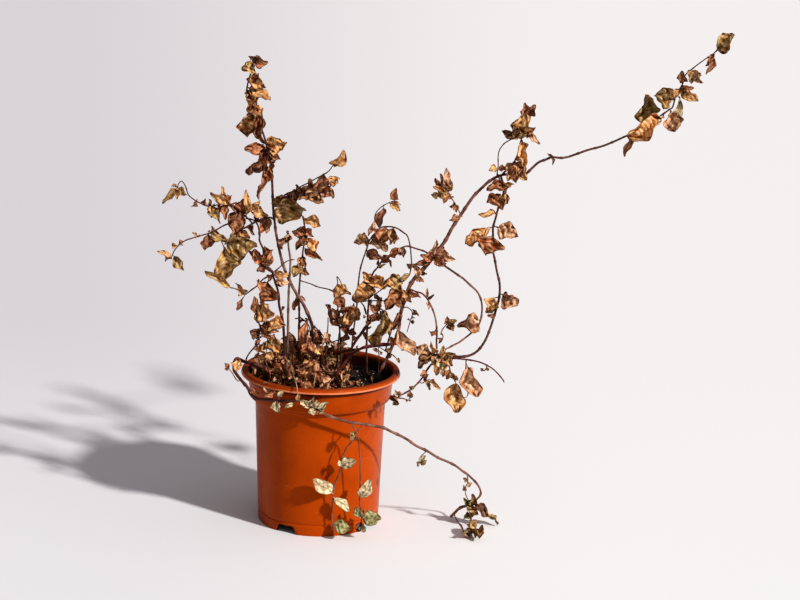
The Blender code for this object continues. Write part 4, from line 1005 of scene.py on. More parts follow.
# Painted shade: the bed is nearly black, as the gaps between the leaves are in shade.
bed_shade_tint = np.array((0.036, 0.012, 0.007)) * (0.6 + 0.7 * np.abs(rough))[..., None]
bed_spot = np.stack([0.5 + 0 * x, 0 * x, 0 * x], -1)
bed_rings = np.stack([x, y, height], -1) * MM + POT_AXIS
bed_top = np.array([*LITTER_CENTRE, litter_height(*LITTER_CENTRE) - BED_SINKS]) * MM + POT_AXIS
bed_under = np.array([*LITTER_CENTRE, 112.0]) * MM + POT_AXIS
bed_body = closed_surface(bed_top, bed_rings, bed_under, tint=with_ends(bed_shade_tint), vein=with_ends(bed_spot))
new_piece("litter_bed", [bed_body], litter_finish, ("leaf_litter",))
print("litter bed rows and columns:", height.shape)

# %% Litter leaves and twigs
LITTER_LEAVES = 240
HEAP_LEAVES = 150
RIM_LEAVES = 80
BARE_LEAVES = 16
TWIGS = 70
LITTER_TONES = "rust rust gold gold maroon olive peach rust".split()
HEAP_TONES = "rust maroon gold gold rust gold peach dark rust peach".split()
TWIG_TONES = ("stem_pale", "stem_grey", "stem")
draw = np.random.default_rng(7)


def one_of(choices):
    """One of these, drawn at random."""
    return choices[draw.integers(len(choices))]


def on_litter(across, deep):
    """x and y of a random place on the litter, from half its width and half its depth in mm."""
    spread, turn = math.sqrt(draw.random()), draw.uniform(0, math.tau)
    return (LITTER_CENTRE[0] + across * spread * math.cos(turn),
            LITTER_CENTRE[1] + deep * spread * math.sin(turn))


def lying_leaf(x, y, z, width, length, tone, rise=0.25, **options):
    """A dropped leaf whose middle is at x, y, z in mm from the pot's axis."""
    heading = draw.uniform(0, math.tau)
    along = np.array([math.cos(heading), math.sin(heading), draw.uniform(-rise, rise)])
    middle = np.array([x, y, z]) * MM + POT_AXIS
    face = np.array([draw.normal() * 0.5, draw.normal() * 0.5, 1.0 if draw.random() < 0.6 else -1.0])
    reach = along * length / 2 * MM
    return leaf_body(middle - reach, middle + reach, face, width, tone, draw,
                     twist=draw.uniform(-1.2, 1.2), fold=draw.uniform(0.1, 0.9), **options)


bodies = []
for _ in range(LITTER_LEAVES):
    x, y = on_litter(*(LITTER_REACH * 0.97))
    length = draw.uniform(7, 15)
    z = litter_height(x, y) + draw.uniform(-2.2, 1.2)
    tone = one_of(LITTER_TONES)
    bodies.append(lying_leaf(x, y, z, length * draw.uniform(0.45, 0.7), length, tone, fineness=0.8))
new_piece("litter_leaves", bodies, litter_finish, ())

bodies = []
for number in range(HEAP_LEAVES):
    if number < RIM_LEAVES:
        turn, spread = draw.uniform(math.radians(62), math.radians(285)), draw.uniform(38, 49)
        z = draw.uniform(121, 136)
        x = spread * math.cos(turn)
    else:
        turn, spread = draw.uniform(0, math.tau), 30 * math.sqrt(draw.random())
        z = draw.uniform(119, 129)
        x = spread * math.cos(turn) - 18
    y = spread * math.sin(turn)
    if x > 16:
        z -= 6
    length = draw.uniform(8.5, 18)
    tone = one_of(HEAP_TONES)
    bodies.append(lying_leaf(x, y, z, length * draw.uniform(0.35, 0.6), length, tone, rise=1.1))
for _ in range(BARE_LEAVES):
    x, y, length = draw.uniform(12, 42), draw.uniform(-22, 26), draw.uniform(4, 8.5)
    tone, z = one_of(HEAP_TONES), soil_height(x, y) + 1.3
    bodies.append(lying_leaf(x, y, z, length * draw.uniform(0.4, 0.65), length, tone, rise=0.5))
new_piece("litter_heap", bodies, litter_finish, ())

bodies = []
for _ in range(TWIGS):
    x, y = on_litter(LITTER_REACH[0] + 8, LITTER_REACH[1] * 0.95)
    heading, length = draw.uniform(0, math.tau), draw.uniform(6, 22)
    along = np.array([math.cos(heading), math.sin(heading), draw.uniform(-0.15, 0.15)]) * length / 2
    middle = np.array([x, y, litter_height(x, y) + draw.uniform(-1.0, 1.0)])
    bow = np.append(draw.normal(size=2), 0.3) * length * 0.08
    path = smooth_path(np.array([middle - along, middle + bow, middle + along]) * MM + POT_AXIS, 1.2 * MM)
    bodies.append(stem_body(path, draw.uniform(0.3, 0.7), 0.3, draw, one_of(TWIG_TONES)))
new_piece("litter_twigs", bodies, stem_finish, ())
print("litter:", LITTER_LEAVES + HEAP_LEAVES + BARE_LEAVES, "leaves and", TWIGS, "twigs")

# %% [markdown]
# ## The tall stem at the left
# The tallest upright stem starts in the middle of the pot and leans left.  Its top carries a
# plume of dark red and gold leaves, and a side shoot goes off to the right of it.

# %% Tall stem, plume and inner shoot
shoot("stem_centre", """
    1.45 0.95: 1 128 5, 0 137 6, -1.5 143 7, -5.5 155 9, -9 167 12, -15 180.5 15, -22 191.5 18,
    -28 203 21, -33 216 23, -38 238 26, -39.6 249.6 27""", kind="stem_pale")
shoot("stem_tall", """
    1.0 0.5: -39.5 248.5 27, -41 262 28, -42 281.5 30, -43.5 296 31, -46 308 32, -49.5 320 33,
    -53 327 34, -57 335 35, -60.5 343 35, -63 353 35, -61.3 364 34, -58 372 33, -55 378.5 32""", """
    -55.8 376.8 32.2  -47.5 377 27  8 maroon bow=0.3; -56.5 375 32  -61 381 28  5 dark;
    -60.5 365.5 34  -49 357.5 28  9 gold; -62 361 35  -55 366 29  7 maroon;
    -62 357 35  -45.5 348.5 30  10 gold roll=0.4; -62 356 35  -56.5 343 30  8 rust roll=0.5;
    -62.5 354 35  -62 338 29  7 gold fold=0.8; -59 338 35  -48 314 30  7 maroon fold=0.8;
    -60 343 35  -52 333 29  7 gold fold=0.6; -47 312 32  -41 298 27  7 maroon fold=0.6;
    -59.8 341 35  -50 326 38  8 maroon bow=0.1; -58.5 339 35  -57 322 27  8 rust roll=-0.5;
    -46.3 309 32  -63 307.5 26  9 rust; -46 307 32  -62 289.5 27  11 maroon roll=0.4;
    -47 309 31  -51 291 24  8 maroon; -46.5 310 32  -32 313 27  11 gold;
    -46 308 32  -36 300.5 28  8 rust; -45 300 31  -44 286 26  6 rust fold=0.8""")
leaf("leaf_plume_tip", "-57.6 375.2 30.5  -66 371 26  11 olive")
leaf("leaf_plume_bell", "-60.3 341.5 32.2  -62.5 319 25  14 gold fold=0.9")
leaf("leaf_plume_hanging", "-46.6 298 28.8  -52 269 24  9 rust fold=0.7")
shoot("shoot_inner", """
    0.8 0.4: -41 262.5 28, -35 268 22, -30 272 16, -24 274 10, -18 272 5, -12 271 0, -5 274 -5,
    0 278 -9, 4 282 -12;
    0.5 0.4: -24 274 10, -20.5 277.5 6, -13 281.5 2, -6.5 285.5 -2, 0.5 289.5 -6, 4 292.5 -8,
    6.5 296.5 -10""", """
    -35 268 21  -20 276 8  10 maroon; -24 273 9  -14 271 -1  10 dark roll=0.4;
    -21 274 6  -2 267 -3  17 gold roll=0.3; -14 276 1  -3 276 -6  9 peach;
    -6 273 -4.5  -1 288 -10  11 maroon; 0 277.5 -9  7 270.5 -13  9 maroon;
    3 281 -11.5  11 286 -14  7 gold; 6 295.5 -9.6  14.5 307.5 -13  9 gold fold=0.5 crumple=0.4;
    -33 270 17  -40 262 22  7 olive; -27 272 16  -34 249 10  17 olive fold=0.35 crumple=0.7;
    -24 262 12  -15 259 8  4 gold""")
print("grown so far:", grown)

# %% [markdown]
# ## The stems in the middle
# Thin straight stems stand close together over the soil.  One is grey with age, one is still
# red, and their leaves hang in small brown bunches.

# %% Middle stems
shoot("stem_grey", """
    1.0 0.7: -28 127 -12, -28 138.5 -12, -27.5 156 -13, -27.5 176 -14, -27.3 191 -14, -26.5 209 -14,
    -26.5 219.5 -13, -28 228 -12, -29 242 -10""", """
    -29 241.5 -10  -33 227.5 -14  8 peach fold=0.8""", kind="stem_pale", tone="stem_grey")
shoot("stem_red", """
    0.95 0.45: -17 130 20, -18 140 21, -18.5 155 22, -18.5 172 23, -19 189.5 24, -18 208 23,
    -17 216 22, -16 229 20, -13.5 238.5 17, -15 244.5 15, -17 253 13, -19.5 257.5 12;
    0.5 0.4: -18.3 171 23, -13 166.5 22, -10 162 21, -9.5 157 20""", """
    -17.2 253.5 13  -3.5 247 9  8 gold; -14 243 15.5  -24.5 241 11  9 maroon;
    -14.1 241.5 16  -21.5 227 10  6 maroon; -14.5 244 15  -9 238 11  5 rust;
    -14 237 17.4  -7 226 13  8 gold; -15 230 19  -17.5 236 15  4 peach;
    -16 229 20  -1.5 219 15  4.5 rust; -16.5 221 21.5  -20.5 212 17  6 gold;
    -17 222 21  -14.5 212 17  4 maroon; -17.8 211 23  -11.5 206.5 20  5 rust;
    -18 216.5 22  -23.5 204.5 18  6 olive; -19 189 24  -23 177 20  5 maroon;
    -19 188 24  -14 184 21  3 peach; -18.5 160 22.3  -12 150 17.5  8 rust;
    -9.7 159 20.5  0 149.5 17  9 maroon""", tone="stem_red", buds=3)
shoot("stem_middle", """
    0.7 0.4: 17 125.5 8, 15 156 5, 13 175.5 3, 12 187.5 2, 7 193.5 5, -3.5 196 12, -10 198.5 17,
    -18.6 201 23.4;
    0.4 0.35: 8 192.5 4.5, 12 199 2, 11.5 205 1, 14 202 -1, 16.5 196 -2;
    0.5 0.45: 0.5 161 2, 9.5 166 3.5, 14 170 4, 19.5 174 2, 21.5 175 1""", """
    8 193 4.5  22 191 0  8 gold; 13 190.5 2  17.5 180 -2  8 rust; 20 176.5 1.8  30 170 -4  13 gold;
    20.5 175 1.8  25 182 -3  8 rust; 14 170 4  8.5 178 0  5 maroon;
    11 167.4 3.7  3.5 180.5 1  5 maroon; 13 172 4  17 165 0  6 gold; 14 169 4  8.5 164.5 -1  5 rust""",
    buds=4)
shoot("stem_short", """
    0.6 0.4: 3 124 -8, 4 147 -7, 4.5 154.5 -6, 5 163 -5, 5 171 -4""", """
    4.8 160 -5.4  1.5 148 -9  4 peach; 4.5 157 -6  8 150 -9  3 rust""", buds=2)
print("grown so far:", grown)

# %% [markdown]
# ## The two arches
# A thick arch rises over the middle of the pot, and a thin one hangs its tip beside it.  Their
# leaves are the broad gold ones in the middle of the picture.

# %% Arches
shoot("stem_arched", """
    0.8 0.6: 38 121 18, 37 140 18, 37 160 17, 37.5 180 15, 38.5 198 12, 40.5 208.5 10, 44 213.5 8,
    48 219.5 6, 52.5 223 4, 56.5 225.5 3, 60.5 228.5 3, 64 231 3, 67.5 232 5, 70.5 231.5 8,
    75.5 230 11, 82 228 14, 88.6 224 19.4""", """
    39.5 206 10.5  50 197 3  12 gold; 38 204 12  33 209 4  7 gold;
    37.8 203 12.8  26.5 186 4  16 gold crumple=0.6; 65 231 3.4  65 223 0  3.5 dark;
    53 223.5 3.5  62 229.5 1  6 rust; 47 218 6.5  55 224.5 2  4 maroon; 46 214 7  45 221.5 4  2.5 dark;
    52 221 4  55.5 214.5 1  2 dark; 44 212.5 8  50.5 216.5 5  2 olive;
    60.5 228.5 3  64 225.5 0  5 rust; 39 203 11  33.5 206 6  5 olive""", buds=2)
shoot("stem_thin_arch", """
    0.65 0.45: 24 126 9, 24.5 140 8, 25.5 155 6, 27 170 5, 28.5 186 4, 29 200 3, 30 210.5 2, 32 219 2,
    34.5 227 1, 37.5 236.5 -2, 41.5 242 -4, 45.5 246.5 -6, 50 247.5 -9, 55.5 247.5 -12, 60 246 -14,
    64.5 243 -16, 67.5 240.5 -18, 69.5 234.5 -19, 70.5 229 -20, 71.5 218 -20, 71 212.5 -19, 70 208 -18,
    67.5 205 -17, 64.5 202 -16;
    0.4 0.35: 45 246.2 -5.8, 41 253 -8, 41.5 258 -9, 43.5 261 -10, 46.5 264 -11, 50.5 266.5 -12,
    56 269 -13""", """
    56 269 -13  57.5 278.5 -16  7 rust crumple=0.5; 52 267 -12.2  60.5 261.5 -15  5.5 gold;
    55 268.5 -12.8  61 266 -15  3 peach; 48.5 263.5 -11.6  45 248.5 -15  7 maroon crumple=0.5;
    40.6 252.6 -8  36.5 240.5 -11  3.6 peach; 50 246.5 -9  46.5 234.5 -14  11 rust;
    55 247 -13  54 234 -17  5 maroon; 57 246.7 -13  57 234.5 -17  6 gold;
    40 236.5 -0.6  25.5 234 -5  10 peach; 37.5 237.5 -1.8  51 229 -8  12 peach;
    34 228 1.3  46 222 -4  8 maroon; 71 213 -19.2  68 217 -21  2.5 dark;
    70.3 209 -18.2  63 204.5 -21  4 olive; 64.5 204 -16.2  51 201 -19  11 olive;
    60 203 -16.2  50 198.5 -22  6 gold; 64 202.5 -16.2  52.5 180 -21  10 rust;
    62 201 -16.2  60.5 189 -20  6 gold""")
leaf("leaf_long_hanging", "51.2 178 -22  44 150 -26  14 olive fold=0.6 crumple=0.6")
leaf("leaf_peach", "61 164 -23  75 142.5 -26  10 peach crumple=0.6")
print("grown so far:", grown)

# %% [markdown]
# ## The thick leaning stem
# The oldest stem leans far to the right.  It splits into a crown of leaves, a long thin runner
# to the far right, and a stem that hangs back down in a wide bow.

# %% Leaning stem, crown and far runner
shoot("stem_thick", """
    1.25 1.6: 46 122 10, 52 134 11, 57 146 12, 61 156 12, 63 164.5 13, 63.5 172.5 13, 65 180.5 14,
    67.5 189 14, 70 197.5 15, 72.5 202.5 16, 75.4 207.2 17;
    0.4 0.35: 65 180.5 13.5, 69.5 181 12, 73.5 176.5 10, 71.5 168 8, 69.5 160 7""", """
    67 192 14  60 188 9  7 gold; 66 186 14  58 193 9  5 rust; 65.5 183 14  57 185 9  4 maroon;
    64.5 178 13  59 163 8  5 maroon; 69 196 14  79 190 10  4 rust; 68.3 193 14  72 186 10  6 gold""",
    kind="stem_pale", buds=4)
shoot("stem_thick_upper", """
    1.6 1.1: 74.6 206 16.8, 79 211 18, 85 218 19, 89.5 224.5 20, 93.5 230.5 21, 98.5 238 22,
    103 247.5 23, 110 259 25, 115 267.5 26, 120 275 27, 126 281.5 28, 131 286.5 29, 136 290 30,
    140.4 292.3 30.3;
    0.45 0.4: 110 258.5 25, 105 268 22, 99 277 19""", """
    88.5 223 20  91 237 16  6 peach; 90 225 20  106 222.5 15  6.5 peach;
    88.5 223 20  79.5 224.5 14  7 rust; 86.5 220 20  75 217.5 14  5 maroon;
    89 224 20  98.5 218 14  5.5 rust; 91 226.5 20.4  96 232 25  6 rust;
    76.5 208 17.4  75 216 13  5.5 peach; 80.5 212.5 18.2  68.5 217 14  3 dark;
    79 210.5 18.2  84 209.5 14  3 dark; 75.5 206.5 17  81.5 203 13  4 rust;
    99 277 19.2  97 295.5 14  7 peach; 99 277 19.2  102 285 16  4 gold;
    99 277 19.2  89 287.5 13  7 rust; 98 278 19.2  93 291 13  6 maroon;
    99 276.5 19.2  86.5 275 14  7 olive; 98 278 19.2  87.5 281 12  6 gold;
    99 276 19.2  96 268.5 15  5 rust; 105 268 22  106.5 261.5 19  4 rust;
    109 257.5 24.8  101.5 254.5 20  4.5 rust""", kind="stem_pale", tone="stem_pale", buds=5)
shoot("stem_right", """
    1.0 0.75: 138.6 291.5 30, 145 293 31, 152 291.5 32, 159.1 292.8 33, 162 295.1 33, 166.1 299.4 34,
    170.7 303.7 35, 175.9 305.9 36, 181 308 37, 188.3 307.7 38, 194.2 308.8 40, 199.9 311 41,
    209.9 314.9 43, 220 317.9 45, 228.8 321.7 47, 237.6 326.1 49, 241.2 327.7 49.8""", """
    181 308 37  177.5 310.5 34  3 dark; 182 308 37  182 302 35  2.5 maroon""")
shoot("shoot_crown", """
    0.7 0.4: 141.5 292.6 30.2, 145 296.4 30.2, 149.6 301.5 30, 152.2 305.8 30, 153.3 309 30,
    154.1 312.9 30, 154.7 316 30, 156 322 30, 157.5 330 30, 159 338 30, 161 343 30""", """
    150.5 303 30  146.5 289 23  9 gold; 151 304 30  161 290 24  9 gold;
    151 304 30  153 287.5 22  9 maroon; 152 305.6 30  156.5 307.5 28  3 rust;
    156 325 30  141.3 327.8 25  8 dark; 156 322 30  150 333 24  9 olive;
    157 323 30  158 342 25  13 gold; 160 338.5 30  157.5 350 26  7 maroon;
    160 340.5 30  165.5 349 26  7 maroon; 157 327 30  169.8 319 25  5 peach;
    156 325 30  166 331 25  7 rust; 156 322 30  158.3 300.3 25  9 gold""")
shoot("shoot_loop", """
    0.42 0.42: 137.6 290.8 29.6, 138.3 300 26, 138 307 26, 138.6 311.8 26, 140.2 315 26.5,
    142.7 318.2 27, 146 320.4 28, 148.3 321.6 28""", """
    138.2 297.2 26.3  131.5 296 24  5.5 gold bow=0.0;
    138.2 297.2 26.3  144.3 297.8 25  4.5 maroon bow=0.0""")
shoot("shoot_far", """
    0.75 0.4: 239.5 326.9 49.4, 250 333 51, 260 340 52, 268.3 346 52.5, 272 349 53, 274.5 350.9 53,
    275.9 357.9 53, 276.7 361.7 53, 279.1 365.6 53.5, 281.2 369.5 54, 281.7 373.4 54, 284 378 54.5,
    288.8 382.3 55, 294 386.7 55.5, 299.9 391.2 56, 304.9 395 57, 306 397 57""", """
    243.3 328.8 50.2  239 311.5 46  4.5 maroon; 252 334.4 51.1  253.5 358.5 56  13 olive bow=0.0;
    279 366 53.5  275 357.5 49  6 gold; 279.5 366 53.6  289.5 366.6 49  6 rust;
    279.3 365.5 53.5  293.5 357 48  8 gold; 281.5 371 54  280.5 379 50  8 maroon;
    288 381.7 55  288.1 371 51  9 olive; 288 380 54.3  296.5 371.5 48  6 peach;
    305.5 396 57  318.5 408.6 52  9.5 olive; 305.3 395.4 57  299.5 385 53  5 rust;
    307 397.5 56.5  315 398.8 53  4 gold; 304.8 394.5 56.9  299.6 378.8 52  5 maroon""", buds=1)
leaf("leaf_far_gold", "268.8 343 47.3  242.5 326.5 43.5  15 gold fold=0.3")
leaf("leaf_far_dark", "273.8 357.4 51  260.5 359.5 45  12 olive fold=0.4")
leaf("leaf_far_hanging", "273.2 348 50.3  277.3 332.5 46.5  11 peach")
leaf("leaf_far_pale", "279.6 360 55  279.3 335 56  6 cream", kind="leaf_pale")
print("grown so far:", grown)

# %% [markdown]
# ## The hanging bow and its leaves
# The hanging stem carries pairs of leaves like beads, and two thinner stems curl inside it.

# %% Hanging stem and curls
shoot("stem_hanging", """
    0.75 0.95: 140.8 291.6 30, 143.5 283 28, 143 276 27, 139.3 263.5 25, 138.4 258.8 24, 136.5 251 22,
    136.2 247.3 21, 136.8 239.1 18, 137.1 229.8 15, 138.8 222.6 12, 140.9 212.8 8, 142.8 206.1 5,
    143.7 199.5 3, 143.4 190.8 1, 141.8 183.4 -1, 139.3 173.2 -5, 137 164.7 -8, 133.2 154.5 -12,
    127.8 146.4 -15, 121.4 142.2 -17, 113.8 140.8 -18, 107 141.4 -18.5, 99 140.8 -21""", """
    142.8 286 28.3  131 280 23  10 rust; 143.4 283 28  151 285 23  7 gold;
    142.5 276 26.8  131.5 270 22  12 rust; 142.5 277 26.8  147 270 22  8 maroon;
    141.5 271 26.3  145.5 278.5 22  8 gold; 138.8 261 24.5  125 259.8 19  6 gold;
    140.5 178 -3  134.8 176.3 -6  4 rust; 141.7 183 -0.8  133.3 179.2 1  5 peach""")
leaf("leaf_ring_left", "133.5 249.5 21  115.5 236.8 24  12 gold")
leaf("leaf_ring_right", "138.8 250 20  155.5 243 14  12 peach")
leaf("leaf_ring_front", "136.2 242.8 14  131.5 227.5 9  13 rust fold=0.3 twist=0.0")
leaf("leaf_ring_brown", "139.8 191.5 -2  135 180.5 -5  10 gold fold=0.3")
leaf("leaf_ring_outer", "145.2 194.4 0.5  158.3 187.5 -4  12 peach")
shoot("stem_arch_right", """
    0.8 0.6: 90 222.5 20.5, 94 219.5 23, 99 216.2 26, 110 209 29, 114.2 206.2 31, 120 201 33,
    124.9 196.6 34, 127.8 192 34, 129.6 186.1 34, 130 180 33, 129.2 172.3 31, 126.4 165.7 28,
    120.7 160 22, 113.3 153.7 12, 108 150.6 5, 104.3 148.3 0, 101.5 146.8 -6, 96.5 141.8 -19.5""",
    tone="stem_pale")
leaf("leaf_arch_gold", "128 172.2 27.8  111.5 167 20  12 peach")
shoot("stem_arch_middle", """
    0.6 0.7: 70 196.5 14.5, 73.6 195.4 10, 76 194.5 9, 81 193 6, 85 189 2, 89 182 -3, 92 174 -7,
    93.5 166 -10, 94 158 -13, 93.8 154 -14, 94.3 147 -17.5, 95 141.3 -20;
    0.4 0.35: 94.1 156 -13.4, 98.7 156.3 -15, 99 158.5 -15, 97.4 160.5 -15, 98.7 164 -15, 101 167 -15,
    102.6 168.3 -15""", """
    93.9 160 -12.3  88.5 161 -15  4 maroon; 92.5 165 -9  90 158 -12  3 maroon;
    86 188 1  90.5 192.5 -2  2.5 dark; 84.5 190 2  85 197.5 -1  2.5 peach;
    86 187.5 1  86.5 180.5 -2  2.5 peach; 98.7 156.3 -15  96 152 -16  3 dark;
    102.4 168.3 -15  107 163 -18  5 maroon; 102.4 168 -15  102 174 -18  6 rust;
    102.6 168.3 -15  109.5 171 -18  5 olive""", tone="stem_pale", buds=1)
print("grown so far:", grown)

# %% [markdown]
# ## The low runner
# A pale stem lies low over the rim to the right and carries a tight bunch of leaves and two
# large rolled ones.

# %% Low runner
shoot("stem_low", """
    1.2 0.45: 12 122 -20, 18 131 -20, 25 140 -20, 35 146.5 -20, 48 149.5 -19, 60 150 -18, 68 150 -18,
    76 148.3 -18, 82 146.5 -18, 88 144 -19, 95 141.3 -20, 103 139.6 -23, 111.2 139.2 -27,
    120.4 138.4 -31, 128.7 137 -35, 135.9 134.2 -39, 142.1 130.2 -43, 148.7 123.2 -47, 150.6 119.8 -48;
    0.75 0.6: 95 141.3 -20, 91 135 -21, 87 129 -23, 85.7 125.4 -25, 83.1 121.8 -27, 80.3 118 -30,
    76.9 114.4 -33, 73.4 111.1 -36, 69.2 108.4 -40, 65 106.1 -43, 63.7 104.5 -44;
    0.5 0.4: 104 139.6 -23.5, 104.5 134 -24.5, 106.2 128 -25.5, 106.8 122.5 -26;
    0.45 0.4: 135.5 134.2 -39, 135.1 131 -39, 133 129.5 -38.5, 131.2 129.8 -38;
    0.35 0.35: 80.6 118.4 -29.7, 83.1 117.4 -30, 85.9 119.2 -30, 89 121 -30;
    0.4 0.3: 64 104.9 -43.8, 68 103.8 -45, 73.7 102.2 -46;
    0.4 0.3: 118.7 137.8 -31, 118.7 115.4 -28, 120.9 112 -28, 121 108.5 -28, 119.7 106.3 -28,
    118.2 106.3 -28""", """
    93 142 -19.6  80.5 131 -24  9 dark; 92 142.4 -19.5  80.5 138 -22  8 olive;
    91.5 143 -19.2  89.5 152.5 -22  5 gold; 96 141 -20.2  99.5 149 -25  6 gold;
    96 141 -20.2  91 133.5 -25  7 peach; 96 140.5 -20.2  99 130 -25  8 cream;
    99 140 -21  107 133.5 -25  7 gold; 97 140.8 -20.5  95 125.5 -24  7 gold;
    98 140.6 -21  100 124.5 -25  6 olive; 99 141 -21  109 143 -24  6 olive;
    77 148.3 -18  88.5 142.5 -22  7 peach; 74 149 -18  66 145 -20  5 rust;
    105.5 130.5 -25.1  103.5 122 -26  5 rust; 106.5 128.5 -25.1  112 121 -26  5 gold;
    85.7 126 -24.7  86 119 -29  5 maroon; 86.5 128 -24  82 124 -28  4 rust;
    88.5 120.5 -30  89.5 112.5 -33  5 olive; 88.7 121 -30  97.5 113.5 -33  5 gold;
    64 105 -43.8  57 103.5 -46  6 rust; 64 105.5 -44  61.5 110.5 -45  3 olive;
    64.2 104.5 -43.5  60 98.5 -46  5.5 olive; 133 129.7 -38.5  130.8 131.4 -38  2.4 maroon;
    135.3 132 -39  137.6 130.2 -39  2.2 maroon""",
    kind="stem_pale", tone="stem_red", tones="gold rust olive", buds=4)
leaf("leaf_curled", "110.5 121 -28  112 95 -34  11.5 gold fold=0.3 crumple=0.8 curl=0.9 point=0.55")
leaf("leaf_broad", "119 134.6 -32  128 109 -37  12 peach fold=0.25 crumple=0.8 curl=0.7 point=0.55")
print("grown so far:", grown)

# %% [markdown]
# ## The left side
# Short stems lean left over the rim, and one long shoot forks far out to the left.

# %% Left stems and shoot
shoot("stem_draped", """
    0.55 0.5: -51.5 171 -24, -51.5 165 -26, -50 159.5 -28, -51.5 153 -30, -51 147.5 -31,
    -55 143.5 -31, -58.5 139 -30, -61 134.5 -28, -61.4 131 -24;
    0.4 0.35: -45 161.5 -28.3, -45 154.5 -28, -44 148 -27, -45 140 -26""", """
    -51.5 170 -24.3  -55 185.5 -28  6 rust; -53.5 178 -24.5  -40 172 -29  14 gold;
    -52.5 175 -24.5  -52.5 165 -29  6 olive; -50.3 162 -27.6  -31 163 -30  11 gold bow=0.02;
    -50.3 160.5 -27.6  -36 158 -31  7 rust; -50.5 158 -28  -42 152 -31  6 maroon;
    -51.3 154 -29.7  -58 157.5 -33  8 dark; -51.3 152 -30  -54 146 -33  4 rust;
    -44.5 150 -27.5  -49 142 -30  5 olive; -44.5 149 -27.5  -40.5 146.5 -30  3 pale_green""",
    tones="gold rust olive", buds=3)
shoot("stem_whorl", """
    1.0 0.45: -31 158.5 -18, -31.3 162 -18.5, -32.5 170 -20, -35 180 -24, -35.5 189 -27,
    -37.5 196.5 -30, -40 203.5 -32, -41 208 -33, -46 213 -34, -47.5 219.5 -35, -48.5 226 -36,
    -51.5 233 -37, -51.5 238 -34, -52.5 244 -27, -54.5 248 -18, -58 250.3 -8, -63 250.5 0, -66.5 246 3;
    1.1 0.9: -41 207 -32.8, -49 212.5 -34, -52 214.5 -35, -60 224.5 -37;
    0.5 0.4: -40 206 -32.5, -35 211.5 -31, -29.5 216.5 -30, -23 218.5 -28;
    0.55 0.45: -40.3 205 -32.4, -43.5 204 -33, -49 200.5 -34, -52.5 196 -35, -57.5 192 -35,
    -63 187.5 -35;
    1.0 1.0: -31 160 -18, -30.3 148 -16, -30 136 -14""", """
    -48 212.5 -34  -53 208.5 -38  7 maroon; -50 213 -35  -55.5 225 -38  7 rust;
    -48 220 -35  -57.5 223.5 -38  6 maroon; -47 215 -34.7  -45 226.5 -38  5 maroon;
    -45 212.5 -34.7  -42 224 -38  5 rust; -44 211 -34.7  -45.5 220.5 -38  4 peach;
    -48.2 224 -35.7  -41 225.5 -38  5 rust; -47 217.5 -34.7  -43 213 -38  5 maroon;
    -39.5 206 -32.5  -28 205.5 -33  7 gold; -38.5 201 -31  -27.5 199 -33  5 peach;
    -37.5 197 -30  -33 196 -33  2.5 dark; -62.5 188 -35  -70 196.5 -38  6 gold;
    -66 187 -35  -69 175.5 -38  4 maroon stalk=0.3""", tones="maroon rust", buds=4)
leaf("leaf_whorl_folded", "-43.5 200.8 -37  -49.5 182.5 -41  11 rust")
leaf("leaf_whorl_gold", "-42 155 -18  -34.5 139.5 -21  10 gold")
leaf("leaf_left_gold", "-80 229.2 -15  -55.5 229 -20  17 olive fold=0.2 crumple=0.9 twist=0.2 curl=0.6")
leaf("leaf_left_egg", "-79.8 227.5 -15  -79.5 201 -19  15 olive fold=0.4 crumple=0.9 curl=0.8 twist=0.15")
leaf("leaf_left_long", "-72.5 192.5 -34  -94 205.6 -30  7 olive crumple=0.4")
shoot("shoot_left", """
    0.75 0.45: -40.2 251 27, -43.6 252.3 22, -50.5 250.5 17, -58 246.5 10, -66 242.5 4, -75 246 0,
    -80 244.8 -2, -87 240.5 -5, -92.5 237.9 -7, -99 235.8 -9, -106 233.4 -12, -111.5 231.3 -14,
    -115.9 228 -16, -119.3 224.2 -18, -121.2 220.7 -19, -122 218.2 -20;
    0.6 0.35: -57 247 11, -60 250 11.5, -64 253.5 9, -70 259 5, -77 263 2, -85 261.5 -2, -93 260 -6,
    -100 262.6 -9, -105 265.5 -11, -109 269 -13, -111.5 276 -15, -114.5 280 -17, -117 277.5 -18,
    -118 273.5 -19""", """
    -121.8 218.6 -20  -133.2 221.5 -24  4 gold; -121.8 218.8 -20  -113.5 207.4 -23  5 olive;
    -121.9 218.5 -20  -127 214 -22  3 maroon; -93 238 -6.5  -95.5 225 -12  9 maroon;
    -92 238.5 -5.8  -77 231 -12  6 olive; -117.8 274.5 -18.8  -128.8 262 -23  6 olive;
    -117.8 274.5 -18.8  -110.8 269.5 -20  4.5 olive; -117.9 274 -19  -118 265.5 -21  3 gold;
    -77.5 264 2  -90.5 270.5 -4  6 gold bow=0.45; -77.5 270 2  -76 261 -4  5 rust;
    -80 264 2  -82 275.5 -4  5 gold; -88 261.2 -3  -90.5 251.5 -8  7 gold;
    -84 262.2 -3  -84.5 254 -8  4 rust; -81 262.3 0  -79 250.5 -6  6 rust;
    -69.5 258.5 5.3  -77 262 -2  8 rust; -68 257 5.3  -65 266 -2  8 maroon;
    -69.5 258.5 5.3  -71 238 -4  11 maroon; -66 252 6  -67 241 -3  6 dark;
    -71 243 1  -73.5 232.5 -6  7 gold; -61 254 11  -62.5 273 6  6 gold;
    -60 258 11.3  -46 254 7  7 gold; -59 258 11.3  -52 265 7  6 gold;
    -56 250 12  -52.5 254.5 8  3 dark; -47 251 19  -51.5 239 10  7 rust;
    -44 252 21  -46 240 12  6 peach; -70 243.5 2  -61 236 -5  6 gold; -66 243 3  -62 229 -6  7 rust;
    -75 246 0  -70 254 -6  5 gold; -62 245 7  -56 238 0  5 maroon; -92 260 -6  -84 247 -12  5 olive""",
    buds=10)
print("grown so far:", grown)

